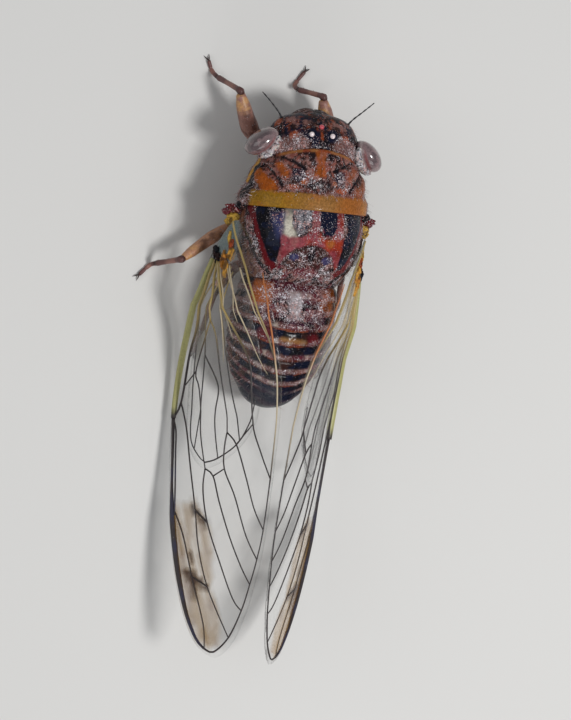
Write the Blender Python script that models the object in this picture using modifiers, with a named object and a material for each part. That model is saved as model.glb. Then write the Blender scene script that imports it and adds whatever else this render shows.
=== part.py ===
"""A life-size olympic scrub cicada at rest, its clear wings folded like a steep roof over the abdomen.

Sizes and places are in millimetres in the insect's own frame: +X is its left side, its head faces -Y and the floor
is z = 0. The last step turns them into metres and puts the origin under the middle of the whole insect.
"""

import math

import bmesh
import bpy
from mathutils import Vector
from mathutils.geometry import delaunay_2d_cdt

MM = 0.001
GAP = 0.3
RING_SIDES = 22
TUBE_SIDES = 8

# Head, eyes and feelers
HIND_BOW = 0.075
EYE_CENTRE = (3.6, 2.55, 5.5)
EYE_RADII = (1.04, 0.92, 1.12)
FACE_CENTRE = (0.0, 1.7, 4.4)
FACE_RADII = (1.8, 1.75, 2.3)
FACE_BACK = 2.2
OCELLUS_RADIUS = 0.2
OCELLI = ((0.0, 1.2, 6.95), (0.72, 1.75, 7.35), (-0.72, 1.75, 7.35))
FEELER = ((2.0, 1.35, 5.2), (2.5, 0.55, 5.3), (3.2, -0.15, 5.4), (3.9, -0.8, 5.3))
FEELER_RADII = (0.36, 0.26, 0.25, 0.1)
BEAK = ((0.0, 1.9, 2.0), (0.0, 3.0, 1.3), (0.0, 5.2, 1.2), (0.0, 7.6, 1.15))
BEAK_RADII = (0.55, 0.42, 0.34, 0.15)

# Body sections: distance back, half width, top, bottom, height of the widest place, bow, sideways shift
HEAD_SECTIONS = (
    (0.5, 1.6, 6.1, 3.7, 5.1, 0.0, 0.0),
    (0.8, 2.4, 6.5, 3.3, 5.1, 0.01, 0.0),
    (1.2, 2.85, 6.9, 3.0, 5.1, 0.02, 0.0),
    (1.9, 3.3, 7.35, 2.6, 5.1, 0.05, 0.0),
    (2.5, 3.4, 7.5, 2.4, 5.1, HIND_BOW, 0.0),
)
PRONOTUM_SECTIONS = (
    (2.5 + GAP, 3.4, 7.65, 2.5, 5.0, HIND_BOW, 0.0),
    (3.7, 3.75, 8.05, 2.2, 5.0, 0.045, 0.0),
    (4.8, 4.0, 8.3, 2.0, 5.0, 0.02, 0.0),
    (5.65, 4.15, 8.35, 1.95, 4.95, 0.0, 0.0),
    (5.75, 4.45, 8.5, 1.95, 4.9, 0.0, 0.0),
    (6.6, 4.45, 8.55, 1.95, 4.9, 0.0, 0.0),
)
THORAX_SECTIONS = (
    (6.6 + GAP, 4.1, 8.5, 1.9, 4.9, 0.0, 0.0),
    (7.8, 4.25, 8.85, 1.75, 4.9, 0.0, 0.0),
    (9.2, 4.15, 8.95, 1.65, 4.9, 0.0, 0.0),
    (10.3, 3.8, 8.55, 1.65, 4.8, 0.0, 0.0),
    (11.2, 3.3, 7.85, 1.75, 4.7, 0.0, 0.0),
)
ABDOMEN_SECTIONS = (
    (11.2 + GAP, 3.1, 6.9, 1.85, 4.6, 0.0, 0.0),
    (12.7, 3.35, 7.3, 1.6, 4.6, 0.0, 0.1),
    (14.2, 3.4, 7.35, 1.5, 4.5, 0.0, 0.2),
    (16.0, 3.3, 7.0, 1.5, 4.3, 0.0, 0.25),
    (17.6, 2.85, 6.4, 1.6, 4.0, 0.0, 0.25),
    (18.9, 2.1, 5.6, 1.85, 3.7, 0.0, 0.2),
    (19.7, 1.4, 4.85, 2.15, 3.5, 0.0, 0.2),
    (20.1, 0.65, 4.1, 2.7, 3.4, 0.0, 0.2),
)
ABDOMEN_RINGS = 8
RING_STEP = 0.05
CROSS_CENTRE = (0.0, 11.35, 7.85)
CROSS_REACH = (1.35, 0.75)
CROSS_RADII = (0.22, 0.42, 0.22)

# Opercula, the plates under the base of the abdomen
OPERCULUM_CENTRE = (1.4, 12.65, 1.45)
OPERCULUM_RADII = (1.0, 1.0, 0.75)

# Wings: along the wing from 10.2 mm back, and up from the lowest line of the roof
WING_START = 10.2
WING_FOOT_X = 5.7
WING_FOOT_Z = 0.62
ROOF_SHIFT = 0.1
HINGE_RISE = 1.0
HINGE_REACH = 6.0
HINGE_LEAN = 0.305
WING_DEPTH = 9.5
WING_SCALE = 0.97
RIGHT_YAW = 0.4
ROOF_SLOPES = ((8.0, 66.0), (11.0, 63.0), (14.0, 63.0), (18.0, 59.0), (21.0, 57.2), (37.5, 55.0))
ROOF_BULGES = ((8.0, 0.1), (10.2, 0.4), (12.0, 1.3), (14.0, 1.9), (18.0, 1.2), (21.0, 0.55), (37.5, 0.4))
MEMBRANE = 0.5
FORE_RIDGE = 0.15
HIND_RIDGE = 0.06
UNDER_WING = MEMBRANE + GAP + FORE_RIDGE + HIND_RIDGE
CELL = 1.9
VEIN_STEP = 1.25
RIDGE_FOOT = 0.34

# Ends of the long veins on the vein that runs along the wing's edge
NODE = (11.5, 0.45)
APEX = (26.3, 6.2)
TIPS = ((26.4, 7.0), (25.3, 8.05), (23.4, 8.8), (21.6, 9.2), (19.9, 9.5), (17.9, 9.7), (14.5, 9.75))
FORK_M = (4.7, 4.55)
FORK_MID = (14.5, 4.3)
FORK_REAR = (11.9, 5.85)
FOREWING_OUTLINE = (
    (-2.1, 4.2), (-0.9, 3.1), (0.5, 2.45), (2.0, 2.45), (3.4, 2.25), (4.9, 1.4), (6.6, 0.65), (8.4, 0.2),
    (10.4, 0.1), (13.6, 0.55), (17.9, 1.4), (20.8, 2.35), (23.9, 3.75), (26.0, 5.3), (26.8, 6.8), (26.6, 7.6),
    (25.4, 8.55), (23.4, 9.25), (21.6, 9.6), (19.9, 9.85), (17.9, 9.98), (14.4, 9.98), (9.1, 9.95), (6.8, 9.75),
    (3.4, 9.25), (0.9, 8.2), (-0.5, 6.7), (-1.8, 5.1),
)
FOREWING_VEINS = {
    "costa": ((0.6, 2.8), (2.2, 2.8), (3.5, 2.55), (4.9, 1.75), (6.6, 1.0), (8.4, 0.55), (10.3, 0.4), NODE,
              (13.6, 0.85), (17.2, 1.55), (20.8, 2.7), (23.9, 4.1), (25.7, 5.35), APEX),
    "edge": (APEX, *TIPS),
    "radius": ((0.7, 3.15), (3.0, 3.35), (5.2, 2.9), (7.2, 1.85), (10.4, 1.1), NODE),
    "radial_rear": ((10.4, 1.1), (12.0, 1.98), (14.2, 2.77), (17.3, 3.87), (19.6, 4.55), (22.2, 5.8), TIPS[1]),
    "radial_front": ((17.2, 1.55), (19.0, 2.97), (21.7, 4.34), (24.7, 5.85), APEX),
    "cross_far": ((21.7, 4.34), (22.2, 5.8)),
    "cross_near": ((17.3, 3.87), (18.0, 5.1)),
    "media": ((0.7, 3.4), (1.7, 3.85), (3.2, 4.45), FORK_M),
    "media_front": (FORK_M, (6.0, 3.8), (8.2, 2.72), (9.3, 3.07), (12.0, 3.4), FORK_MID),
    "cross_radial": ((8.2, 2.72), (9.3, 1.35)),
    "media_two": (FORK_MID, (15.9, 4.35), (18.0, 5.1), (20.5, 6.6), (22.7, 8.0), TIPS[2]),
    "media_three": (FORK_MID, (14.9, 5.1), (16.5, 5.9), (18.8, 7.2), (20.6, 8.4), TIPS[3]),
    "cross_mid": ((14.9, 5.1), (14.3, 6.0)),
    "media_rear": (FORK_M, (5.6, 5.0), (8.1, 5.25), FORK_REAR),
    "media_four": (FORK_REAR, (12.9, 5.78), (14.3, 6.0), (16.0, 7.15), (18.4, 8.4), TIPS[4]),
    "media_five": (FORK_REAR, (12.6, 6.76), (14.6, 7.85), (16.6, 8.8), TIPS[5]),
    "cross_rear": ((12.6, 6.76), (11.8, 7.35), (11.1, 7.9)),
    "cubitus": ((0.8, 3.6), (2.3, 4.77), (4.4, 6.2), (6.9, 7.6), (8.9, 7.75), (11.1, 7.9), (12.9, 8.8), TIPS[6]),
    "claval": ((-1.7, 4.5), (-0.1, 5.3), (1.4, 6.8), (3.1, 8.0), (4.8, 8.8), (6.8, 9.4)),
    "hind_edge": ((1.1, 7.9), (3.4, 8.9), (6.8, 9.4), (9.1, 9.62), (11.8, 9.7), TIPS[6]),
}
HINDWING_OUTLINE = (
    (0.6, 3.8), (2.0, 2.6), (4.5, 1.6), (8.0, 1.1), (11.0, 1.1), (12.8, 1.5), (14.1, 2.6), (14.5, 3.6),
    (14.1, 4.8), (12.9, 6.4), (11.4, 7.4), (9.6, 7.9), (7.0, 8.0), (4.0, 7.4), (1.6, 6.0),
)
HINDWING_VEINS = {
    "front": ((0.9, 4.1), (3.0, 2.6), (6.0, 1.85), (9.5, 1.55), (12.5, 1.8), (13.7, 2.8), (14.1, 3.6)),
    "edge": ((14.1, 3.6), (13.7, 4.7), (12.6, 6.2), (11.2, 7.0), (9.5, 7.5)),
    "middle": ((1.0, 4.3), (4.0, 3.2), (7.0, 2.95), (10.0, 2.55), (13.3, 2.35)),
    "fork": ((7.0, 2.95), (8.9, 4.3), (11.0, 3.95), (13.7, 4.7)),
    "rear": ((1.3, 4.7), (5.0, 5.0), (9.0, 5.5), (12.3, 6.4)),
}

# Legs: points from the body to the knee, and from the knee to the tip of the foot
FOOT_HEIGHT = 0.17
KNEE_RADIUS = 0.4
LEGS = {
    "leg_front_left": (
        ((1.5, 3.9, 2.4), (2.3, 2.9, 1.75), (3.6, 1.7, 2.4), (4.75, -0.2, 3.4)),
        ((4.95, -0.6, 3.3), (5.85, -1.35, 0.85), (6.1, -1.75, FOOT_HEIGHT), (6.6, -2.75, FOOT_HEIGHT)),
    ),
    "leg_front_right": (
        ((-1.5, 3.9, 2.4), (-2.3, 2.9, 1.7), (-1.95, 1.1, 2.0), (-1.15, -0.65, 2.95)),
        ((-0.95, -1.05, 2.9), (0.15, -1.35, 0.95), (0.2, -1.7, FOOT_HEIGHT), (-0.55, -3.0, FOOT_HEIGHT)),
    ),
    "leg_middle_left": (
        ((1.6, 7.9, 2.2), (2.9, 8.1, 1.6), (4.6, 9.0, 2.1), (6.9, 10.95, 3.0)),
        ((7.25, 11.15, 2.85), (8.3, 11.6, 0.8), (8.55, 11.8, FOOT_HEIGHT), (9.4, 12.8, FOOT_HEIGHT)),
    ),
    "leg_middle_right": (
        ((-1.6, 7.7, 2.2), (-2.6, 7.7, 1.5), (-3.5, 8.9, 1.75), (-4.3, 10.5, 2.0)),
        ((-4.4, 10.9, 1.9), (-4.75, 12.8, 0.8), (-4.8, 13.2, FOOT_HEIGHT), (-4.75, 14.6, FOOT_HEIGHT)),
    ),
    "leg_hind_left": (
        ((1.5, 10.4, 2.2), (2.3, 10.7, 1.4), (3.2, 11.3, 1.5), (4.1, 12.5, 1.9)),
        ((4.2, 12.95, 1.85), (4.5, 15.7, 0.8), (4.55, 16.15, FOOT_HEIGHT), (4.7, 17.6, FOOT_HEIGHT)),
    ),
    "leg_hind_right": (
        ((-1.5, 10.4, 2.2), (-2.3, 10.7, 1.4), (-3.2, 11.3, 1.5), (-4.1, 12.5, 1.9)),
        ((-4.2, 12.95, 1.85), (-4.4, 15.9, 0.8), (-4.4, 16.35, FOOT_HEIGHT), (-4.3, 17.8, FOOT_HEIGHT)),
    ),
}
UPPER_RADII = (0.5, 0.5, 0.52, KNEE_RADIUS)
LOWER_RADII = (0.32, 0.26, 0.27, 0.24)
FRONT_RADII = (0.5, 0.55, 0.66, KNEE_RADIUS)
SPINES = (0.35, 0.62)
SPINE_REACH = 1.05
SPINE_RADII = (0.2, 0.16, 0.03)

COLOURS = {
    "dark_shell": ((0.07, 0.035, 0.025, 1.0), 0.4),
    "rust_shell": ((0.42, 0.14, 0.05, 1.0), 0.45),
    "eye": ((0.3, 0.12, 0.1, 1.0), 0.15),
    "leg": ((0.4, 0.15, 0.08, 1.0), 0.4),
    "membrane": ((0.6, 0.5, 0.35, 1.0), 0.2),
}


def clear_scene():
    for obj in list(bpy.data.objects):
        bpy.data.objects.remove(obj)


def new_collection(name):
    collection = bpy.data.collections.new(name)
    bpy.context.scene.collection.children.link(collection)
    return collection


def make_materials():
    for name, (colour, roughness) in COLOURS.items():
        material = bpy.data.materials.new(name)
        material.use_nodes = True
        shader = material.node_tree.nodes["Principled BSDF"]
        shader.inputs["Base Color"].default_value = colour
        shader.inputs["Roughness"].default_value = roughness
        shader.inputs["Metallic"].default_value = 0.0


def add_object(name, mesh, collection):
    obj = bpy.data.objects.new(name, mesh)
    collection.objects.link(obj)
    return obj


def mesh_from(bm, name):
    bmesh.ops.recalc_face_normals(bm, faces=bm.faces)
    mesh = bpy.data.meshes.new(name)
    bm.to_mesh(mesh)
    bm.free()
    return mesh


def settle(obj):
    """Put the evaluated shape in place of the object's mesh and drop its modifiers."""
    graph = bpy.context.evaluated_depsgraph_get()
    mesh = bpy.data.meshes.new_from_object(obj.evaluated_get(graph))
    obj.modifiers.clear()
    obj.data = mesh


def keep_largest(obj):
    """Keep the closed surface with the most faces, so that no scrap of a cut stays."""
    bm = bmesh.new()
    bm.from_mesh(obj.data)
    unseen = set(bm.verts)
    groups = []
    while unseen:
        front = [unseen.pop()]
        group = list(front)
        while front:
            vert = front.pop()
            for edge in vert.link_edges:
                other = edge.other_vert(vert)
                if other in unseen:
                    unseen.remove(other)
                    front.append(other)
                    group.append(other)
        groups.append(group)
    groups.sort(key=len)
    for group in groups[:-1]:
        bmesh.ops.delete(bm, geom=group, context="VERTS")
    bm.to_mesh(obj.data)
    bm.free()


def combine(obj, others, operation, keep_others=False):
    """Join the others to the object, or cut them out of it, in one Boolean on a collection."""
    group = bpy.data.collections.new("combined_with_" + obj.name)
    for other in others:
        group.objects.link(other)
    modifier = obj.modifiers.new(operation.lower(), "BOOLEAN")
    modifier.operation = operation
    modifier.operand_type = "COLLECTION"
    modifier.collection = group
    modifier.solver = "EXACT"
    settle(obj)
    bpy.data.collections.remove(group)
    if not keep_others:
        for other in others:
            bpy.data.objects.remove(other)
    keep_largest(obj)
    return obj


def hide(obj):
    obj.hide_render = True
    obj.display_type = "WIRE"
    return obj


def between(table, place):
    """Value of a table of (place, value) pairs at a place, in straight runs."""
    if place <= table[0][0]:
        return table[0][1]
    for (a, value_a), (b, value_b) in zip(table, table[1:]):
        if place <= b:
            return value_a + (value_b - value_a) * (place - a) / (b - a)
    return table[-1][1]


def section_point(section, angle, grow):
    y, half_width, top, bottom, middle, bow, shift = section
    rise = math.sin(angle)
    height = (top - middle + grow) if rise > 0.0 else (middle - bottom + grow)
    x = (half_width + grow) * math.cos(angle)
    return Vector((x + shift, y + bow * x * x, middle + height * rise))


def loft(name, sections, collection, grow=0.0):
    """Closed body through upright sections, with a domed fan at each end that follows the bow of its section."""
    bm = bmesh.new()
    if grow:
        first = (sections[0][0] - grow, *sections[0][1:])
        last = (sections[-1][0] + grow, *sections[-1][1:])
        sections = (first, *sections[1:-1], last)
    rings = []
    for section in sections:
        angles = [2.0 * math.pi * k / RING_SIDES for k in range(RING_SIDES)]
        rings.append([bm.verts.new(section_point(section, a, grow) * MM) for a in angles])
    for near, far in zip(rings, rings[1:]):
        for k in range(RING_SIDES):
            after = (k + 1) % RING_SIDES
            bm.faces.new((near[k], near[after], far[after], far[k]))
    for ring, section in ((rings[0], sections[0]), (rings[-1], sections[-1])):
        y, half_width, top, bottom, middle, bow, shift = section
        inner = []
        for k in range(RING_SIDES):
            angle = 2.0 * math.pi * k / RING_SIDES
            point = section_point((y, half_width / 2, (top + middle) / 2, (bottom + middle) / 2, middle, bow, shift),
                                  angle, 0.0)
            inner.append(bm.verts.new(point * MM))
        hub = bm.verts.new(Vector((shift, y, middle)) * MM)
        for k in range(RING_SIDES):
            after = (k + 1) % RING_SIDES
            bm.faces.new((ring[k], ring[after], inner[after], inner[k]))
            bm.faces.new((inner[k], inner[after], hub))
    return add_object(name, mesh_from(bm, name), collection)


def ellipsoid(name, centre, radii, collection, segments=20, rings=12):
    bm = bmesh.new()
    bmesh.ops.create_uvsphere(bm, u_segments=segments, v_segments=rings, radius=1.0)
    bmesh.ops.scale(bm, vec=Vector(radii) * MM, verts=bm.verts)
    bmesh.ops.translate(bm, vec=Vector(centre) * MM, verts=bm.verts)
    return add_object(name, mesh_from(bm, name), collection)


def tube(name, points, radii, collection, sides=TUBE_SIDES):
    """Tapered round limb along a run of points, made as a bevelled curve and closed as a mesh."""
    curve = bpy.data.curves.new(name + "_line", "CURVE")
    curve.dimensions = "3D"
    curve.bevel_depth = MM
    curve.bevel_resolution = sides // 2 - 2
    curve.use_fill_caps = True
    spline = curve.splines.new("POLY")
    spline.points.add(len(points) - 1)
    for place, point, radius in zip(spline.points, points, radii):
        place.co = (*(Vector(point) * MM), 1.0)
        place.radius = radius
    line = bpy.data.objects.new(name + "_line", curve)
    collection.objects.link(line)
    graph = bpy.context.evaluated_depsgraph_get()
    mesh = bpy.data.meshes.new_from_object(line.evaluated_get(graph))
    bpy.data.objects.remove(line)
    bm = bmesh.new()
    bm.from_mesh(mesh)
    bmesh.ops.remove_doubles(bm, verts=bm.verts, dist=0.00001)
    return add_object(name, mesh_from(bm, name), collection)


def smooth_run(points, radii, steps):
    """More points and radii on a smooth curve through the given ones."""
    ends = (points[0], *points, points[-1])
    run = []
    sizes = []
    for k in range(len(points) - 1):
        a, b, c, d = (Vector(p) for p in ends[k:k + 4])
        for j in range(steps):
            t = j / steps
            run.append(0.5 * (2 * b + (c - a) * t + (2 * a - 5 * b + 4 * c - d) * t ** 2
                              + (3 * b - a - 3 * c + d) * t ** 3))
            sizes.append(radii[k] + (radii[k + 1] - radii[k]) * t)
    return [*run, Vector(points[-1])], [*sizes, radii[-1]]


def trim(obj, place, direction):
    """Keep what lies past the plane, on the side the direction points to, and close the cut."""
    bm = bmesh.new()
    bm.from_mesh(obj.data)
    geometry = [*bm.verts, *bm.edges, *bm.faces]
    spot = Vector(place) * MM
    cut = bmesh.ops.bisect_plane(bm, geom=geometry, plane_co=spot, plane_no=direction, clear_inner=True)
    edges = [e for e in cut["geom_cut"] if isinstance(e, bmesh.types.BMEdge)]
    bmesh.ops.holes_fill(bm, edges=edges)
    bmesh.ops.recalc_face_normals(bm, faces=bm.faces)
    bm.to_mesh(obj.data)
    bm.free()
    return obj


def wing_point(s, w, side, sink=0.0):
    """Place on the roof of a wing: s along it, w up from its lowest line, sink below its surface."""
    t = WING_START + s
    slope = math.radians(between(ROOF_SLOPES, t))
    rise = HINGE_RISE * max(0.0, 1.0 - s / HINGE_REACH)
    height = w * WING_SCALE
    across = min(max(height / WING_DEPTH, 0.0), 1.0)
    bulge = between(ROOF_BULGES, t) * 4.0 * across * (1.0 - across) - sink
    x = WING_FOOT_X + HINGE_LEAN * rise - height * math.cos(slope) + bulge * math.sin(slope)
    z = WING_FOOT_Z + rise + height * math.sin(slope) + bulge * math.cos(slope)
    if side > 0:
        return Vector((x + ROOF_SHIFT, t, z))
    yaw = math.radians(RIGHT_YAW)
    return Vector((ROOF_SHIFT - x + s * math.sin(yaw), WING_START + s * math.cos(yaw), z))


def smooth_line(corners, spacing, closed=False):
    """Run of points at about one spacing on a smooth curve through the corners."""
    corners = [Vector(c) for c in corners]
    count = len(corners)
    points = []
    for k in range(count if closed else count - 1):
        if closed:
            a, b, c, d = (corners[(k + j - 1) % count] for j in range(4))
        else:
            a, b, c, d = (corners[min(max(k + j - 1, 0), count - 1)] for j in range(4))
        steps = max(1, round((c - b).length / spacing))
        for j in range(steps):
            t = j / steps
            points.append(0.5 * (2 * b + (c - a) * t + (2 * a - 5 * b + 4 * c - d) * t ** 2
                                 + (3 * b - a - 3 * c + d) * t ** 3))
    return points if closed else [*points, corners[-1]]


def inside(point, outline):
    crossings = 0
    for a, b in zip(outline, [*outline[1:], outline[0]]):
        if (a.y > point.y) != (b.y > point.y):
            crossings += point.x < a.x + (point.y - a.y) * (b.x - a.x) / (b.y - a.y)
    return crossings % 2 == 1


def beside(run, reach):
    """Points to both sides of a run, at the foot of its ridge."""
    feet = []
    for k, point in enumerate(run):
        ahead = run[min(k + 1, len(run) - 1)] - run[max(k - 1, 0)]
        across = Vector((-ahead.y, ahead.x)).normalized() * reach
        feet += [point + across, point - across]
    return feet


def grid_over(outline):
    """Staggered points over the box of an outline."""
    low = [min(p[k] for p in outline) for k in (0, 1)]
    high = [max(p[k] for p in outline) for k in (0, 1)]
    columns = int((high[0] - low[0]) / CELL)
    rows = int((high[1] - low[1]) / CELL)
    for i in range(1, columns + 1):
        for j in range(1, rows + 1):
            yield Vector((low[0] + i * CELL, low[1] + (j + 0.5 * (i % 2) - 0.25) * CELL))


def wing(name, corners, veins, ridge, side, sink, collection):
    """Wing plate with its veins raised alike on both faces, from one triangulation."""
    outline = smooth_line(corners, CELL, closed=True)
    runs = [smooth_line(vein, VEIN_STEP) for vein in veins.values()]
    crest = [point for run in runs for point in run]
    points = [*outline, *crest]
    edges = []
    start = len(outline)
    for run in runs:
        edges += [(start + k, start + k + 1) for k in range(len(run) - 1)]
        start += len(run)
    feet = [point for run in runs for point in beside(run, RIDGE_FOOT)]
    for spots, room in ((feet, 0.85 * RIDGE_FOOT), (grid_over(outline), 0.55 * CELL)):
        for spot in spots:
            if inside(spot, outline) and min((spot - p).length for p in points) > room:
                points.append(spot)
    border = list(range(len(outline)))
    verts, _, faces = delaunay_2d_cdt(points, edges, [border], 1, 1e-4)[:3]
    bm = bmesh.new()
    plan = [bm.verts.new((v.x, v.y, 0.0)) for v in verts]
    for face in faces:
        bm.faces.new([plan[k] for k in face])
    obj = add_object(name, mesh_from(bm, name), collection)
    raised = obj.vertex_groups.new(name="veins")
    for vert in obj.data.vertices:
        spot = vert.co.to_2d()
        if min((spot - p).length for p in crest) < 0.1 * RIDGE_FOOT:
            raised.add([vert.index], 1.0, "REPLACE")
        vert.co = wing_point(spot.x, spot.y, side, sink) * MM
    shell = obj.modifiers.new("membrane", "SOLIDIFY")
    shell.thickness = (MEMBRANE + 2.0 * ridge) * MM
    shell.offset = 0.0
    shell.vertex_group = raised.name
    shell.thickness_vertex_group = MEMBRANE / (MEMBRANE + 2.0 * ridge)
    settle(obj)
    return obj


def ringed(sections, rings, step):
    """Sections of a body whose shell is a row of overlapping rings, each a step wider at its rear edge."""
    columns = list(zip(*sections))
    tables = [list(zip(columns[0], column)) for column in columns]
    start, end = columns[0][0], columns[0][-1]
    depth = (end - start) / rings
    result = []
    for k in range(rings):
        for part, grow in ((0.04, -step), (0.5, 0.0), (0.96, step)):
            y = start + (k + part) * depth
            if k == 0 and part < 0.1:
                y = start
            row = [between(table, y) for table in tables]
            row[0] = y
            row[1] += grow
            row[2] += grow
            row[3] -= grow
            result.append(tuple(row))
    result.append(sections[-1])
    return result


def make_head(parts):
    head = loft("head", HEAD_SECTIONS, parts)
    face = trim(ellipsoid("face", FACE_CENTRE, FACE_RADII, parts), (0, FACE_BACK, 0), (0, -1, 0))
    ocelli = [ellipsoid("ocellus", place, (OCELLUS_RADIUS,) * 3, parts, 8, 6) for place in OCELLI]
    combine(head, [face, *ocelli], "UNION")
    grown = [r + GAP for r in EYE_RADII]
    sockets = [ellipsoid("socket", (side * EYE_CENTRE[0], *EYE_CENTRE[1:]), grown, parts) for side in (1, -1)]
    combine(head, sockets, "DIFFERENCE")
    for side, word in ((1, "left"), (-1, "right")):
        ellipsoid("eye_" + word, (side * EYE_CENTRE[0], *EYE_CENTRE[1:]), EYE_RADII, parts)


def make_sleeves(helpers):
    """Body forms grown by the gap, which cut the limbs clear of them."""
    forms = (("head", HEAD_SECTIONS), ("pronotum", PRONOTUM_SECTIONS), ("thorax", THORAX_SECTIONS),
             ("abdomen", ABDOMEN_SECTIONS))
    sleeves = {word: hide(loft(word + "_sleeve", sections, helpers, GAP)) for word, sections in forms}
    grown = [r + GAP for r in FACE_RADII]
    sleeves["face"] = hide(ellipsoid("face_sleeve", FACE_CENTRE, grown, helpers))
    return sleeves


def make_trunk(parts):
    loft("pronotum", PRONOTUM_SECTIONS, parts)
    thorax = loft("mesothorax", THORAX_SECTIONS, parts)
    bars = []
    for side in (1, -1):
        ends = [(k * side * CROSS_REACH[0], CROSS_CENTRE[1] + k * CROSS_REACH[1], CROSS_CENTRE[2]) for k in (-1, 1)]
        bars.append(tube("cross_bar", [ends[0], CROSS_CENTRE, ends[1]], CROSS_RADII, parts))
    combine(thorax, bars, "UNION")
    loft("abdomen", ringed(ABDOMEN_SECTIONS, ABDOMEN_RINGS, RING_STEP), parts)


def spines(upper, parts):
    """Teeth under the thick front thigh, leaning a little towards the knee."""
    hip, knee = Vector(upper[2]), Vector(upper[3])
    teeth = []
    for share in SPINES:
        root = hip.lerp(knee, share)
        tip = root + Vector((0.0, 0.0, -SPINE_REACH)) + 0.12 * (knee - hip)
        teeth.append(tube("tooth", [root, root.lerp(tip, 0.5), tip], SPINE_RADII, parts, 6))
    return teeth


def make_limbs(parts, sleeves):
    trunk = [sleeves[word] for word in ("head", "face", "pronotum", "thorax", "abdomen")]
    for side, word in ((1, "left"), (-1, "right")):
        points = [(side * x, y, z) for x, y, z in FEELER]
        feeler = tube("antenna_" + word, points, FEELER_RADII, parts, 6)
        combine(feeler, trunk[:2], "DIFFERENCE", keep_others=True)
        centre = (side * OPERCULUM_CENTRE[0], *OPERCULUM_CENTRE[1:])
        plate = ellipsoid("operculum_" + word, centre, OPERCULUM_RADII, parts)
        combine(plate, trunk[3:], "DIFFERENCE", keep_others=True)
    beak = tube("beak", *smooth_run(BEAK, BEAK_RADII, 2), parts)
    combine(beak, trunk[:4], "DIFFERENCE", keep_others=True)
    for name, (upper, lower) in LEGS.items():
        front = "front" in name
        femur = tube(name + "_femur", *smooth_run(upper, FRONT_RADII if front else UPPER_RADII, 3), parts)
        if front:
            combine(femur, spines(upper, parts), "UNION")
        combine(femur, trunk, "DIFFERENCE", keep_others=True)
        shin = tube(name + "_tibia", *smooth_run(lower, LOWER_RADII, 3), parts)
        trim(shin, (0, 0, 0), (0, 0, 1))


def make_wings(parts, sleeves):
    trunk = [sleeves[word] for word in ("thorax", "pronotum", "abdomen")]
    for side, word in ((1, "left"), (-1, "right")):
        fore = wing("forewing_" + word, FOREWING_OUTLINE, FOREWING_VEINS, FORE_RIDGE, side, 0.0, parts)
        hind = wing("hindwing_" + word, HINDWING_OUTLINE, HINDWING_VEINS, HIND_RIDGE, side, UNDER_WING, parts)
        for piece in (fore, hind):
            combine(piece, trunk, "DIFFERENCE", keep_others=True)


def paint(parts):
    for obj in parts.objects:
        word = obj.name.split("_")[0]
        named = {"eye": "eye", "leg": "leg", "antenna": "leg", "forewing": "membrane", "hindwing": "membrane",
                 "pronotum": "rust_shell"}
        obj.data.materials.clear()
        obj.data.materials.append(bpy.data.materials[named.get(word, "dark_shell")])
        obj.data.shade_smooth()
        obj.data.set_sharp_from_angle(angle=math.radians(40.0))


def stand_on_origin(parts):
    """Put the origin on the floor under the middle of the insect's box."""
    corners = [vert.co for obj in parts.objects for vert in obj.data.vertices]
    low = [min(c[k] for c in corners) for k in range(3)]
    high = [max(c[k] for c in corners) for k in range(3)]
    root = bpy.data.objects.new("cicada_origin", None)
    parts.objects.link(root)
    root.location = (-(low[0] + high[0]) / 2, -(low[1] + high[1]) / 2, -low[2])
    for obj in parts.objects:
        if obj is not root:
            obj.parent = root
    bpy.context.view_layer.update()


def main():
    clear_scene()
    make_materials()
    parts = new_collection("olympic_scrub_cicada")
    helpers = new_collection("cutters")
    sleeves = make_sleeves(helpers)
    make_head(parts)
    make_trunk(parts)
    make_limbs(parts, sleeves)
    make_wings(parts, sleeves)
    paint(parts)
    stand_on_origin(parts)


main()
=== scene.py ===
"""Looks of a life-size olympic scrub cicada at rest, its clear wings folded like a roof over the abdomen.

Sizes and places are in millimetres in the insect's own frame: +X is its left side, its head faces -Y and
the floor is z = 0. `place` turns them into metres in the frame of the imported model.
"""

import math

import bpy
import numpy as np
from mathutils import Matrix, Vector
from mathutils.geometry import delaunay_2d_cdt


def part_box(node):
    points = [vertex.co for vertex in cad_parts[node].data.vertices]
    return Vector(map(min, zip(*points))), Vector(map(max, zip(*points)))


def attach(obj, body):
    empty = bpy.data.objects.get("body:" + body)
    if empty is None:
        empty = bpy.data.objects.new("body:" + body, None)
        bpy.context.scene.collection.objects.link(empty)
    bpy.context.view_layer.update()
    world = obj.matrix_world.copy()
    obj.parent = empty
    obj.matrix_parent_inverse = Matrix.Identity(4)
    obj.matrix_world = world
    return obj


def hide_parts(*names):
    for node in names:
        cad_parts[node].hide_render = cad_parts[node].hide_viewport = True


MM = 0.001
SEED = 43
SIDES = ((1, "left"), (-1, "right"))

# The collar's rear edge, which sets the insect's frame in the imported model
COLLAR_END = 6.6

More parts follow.
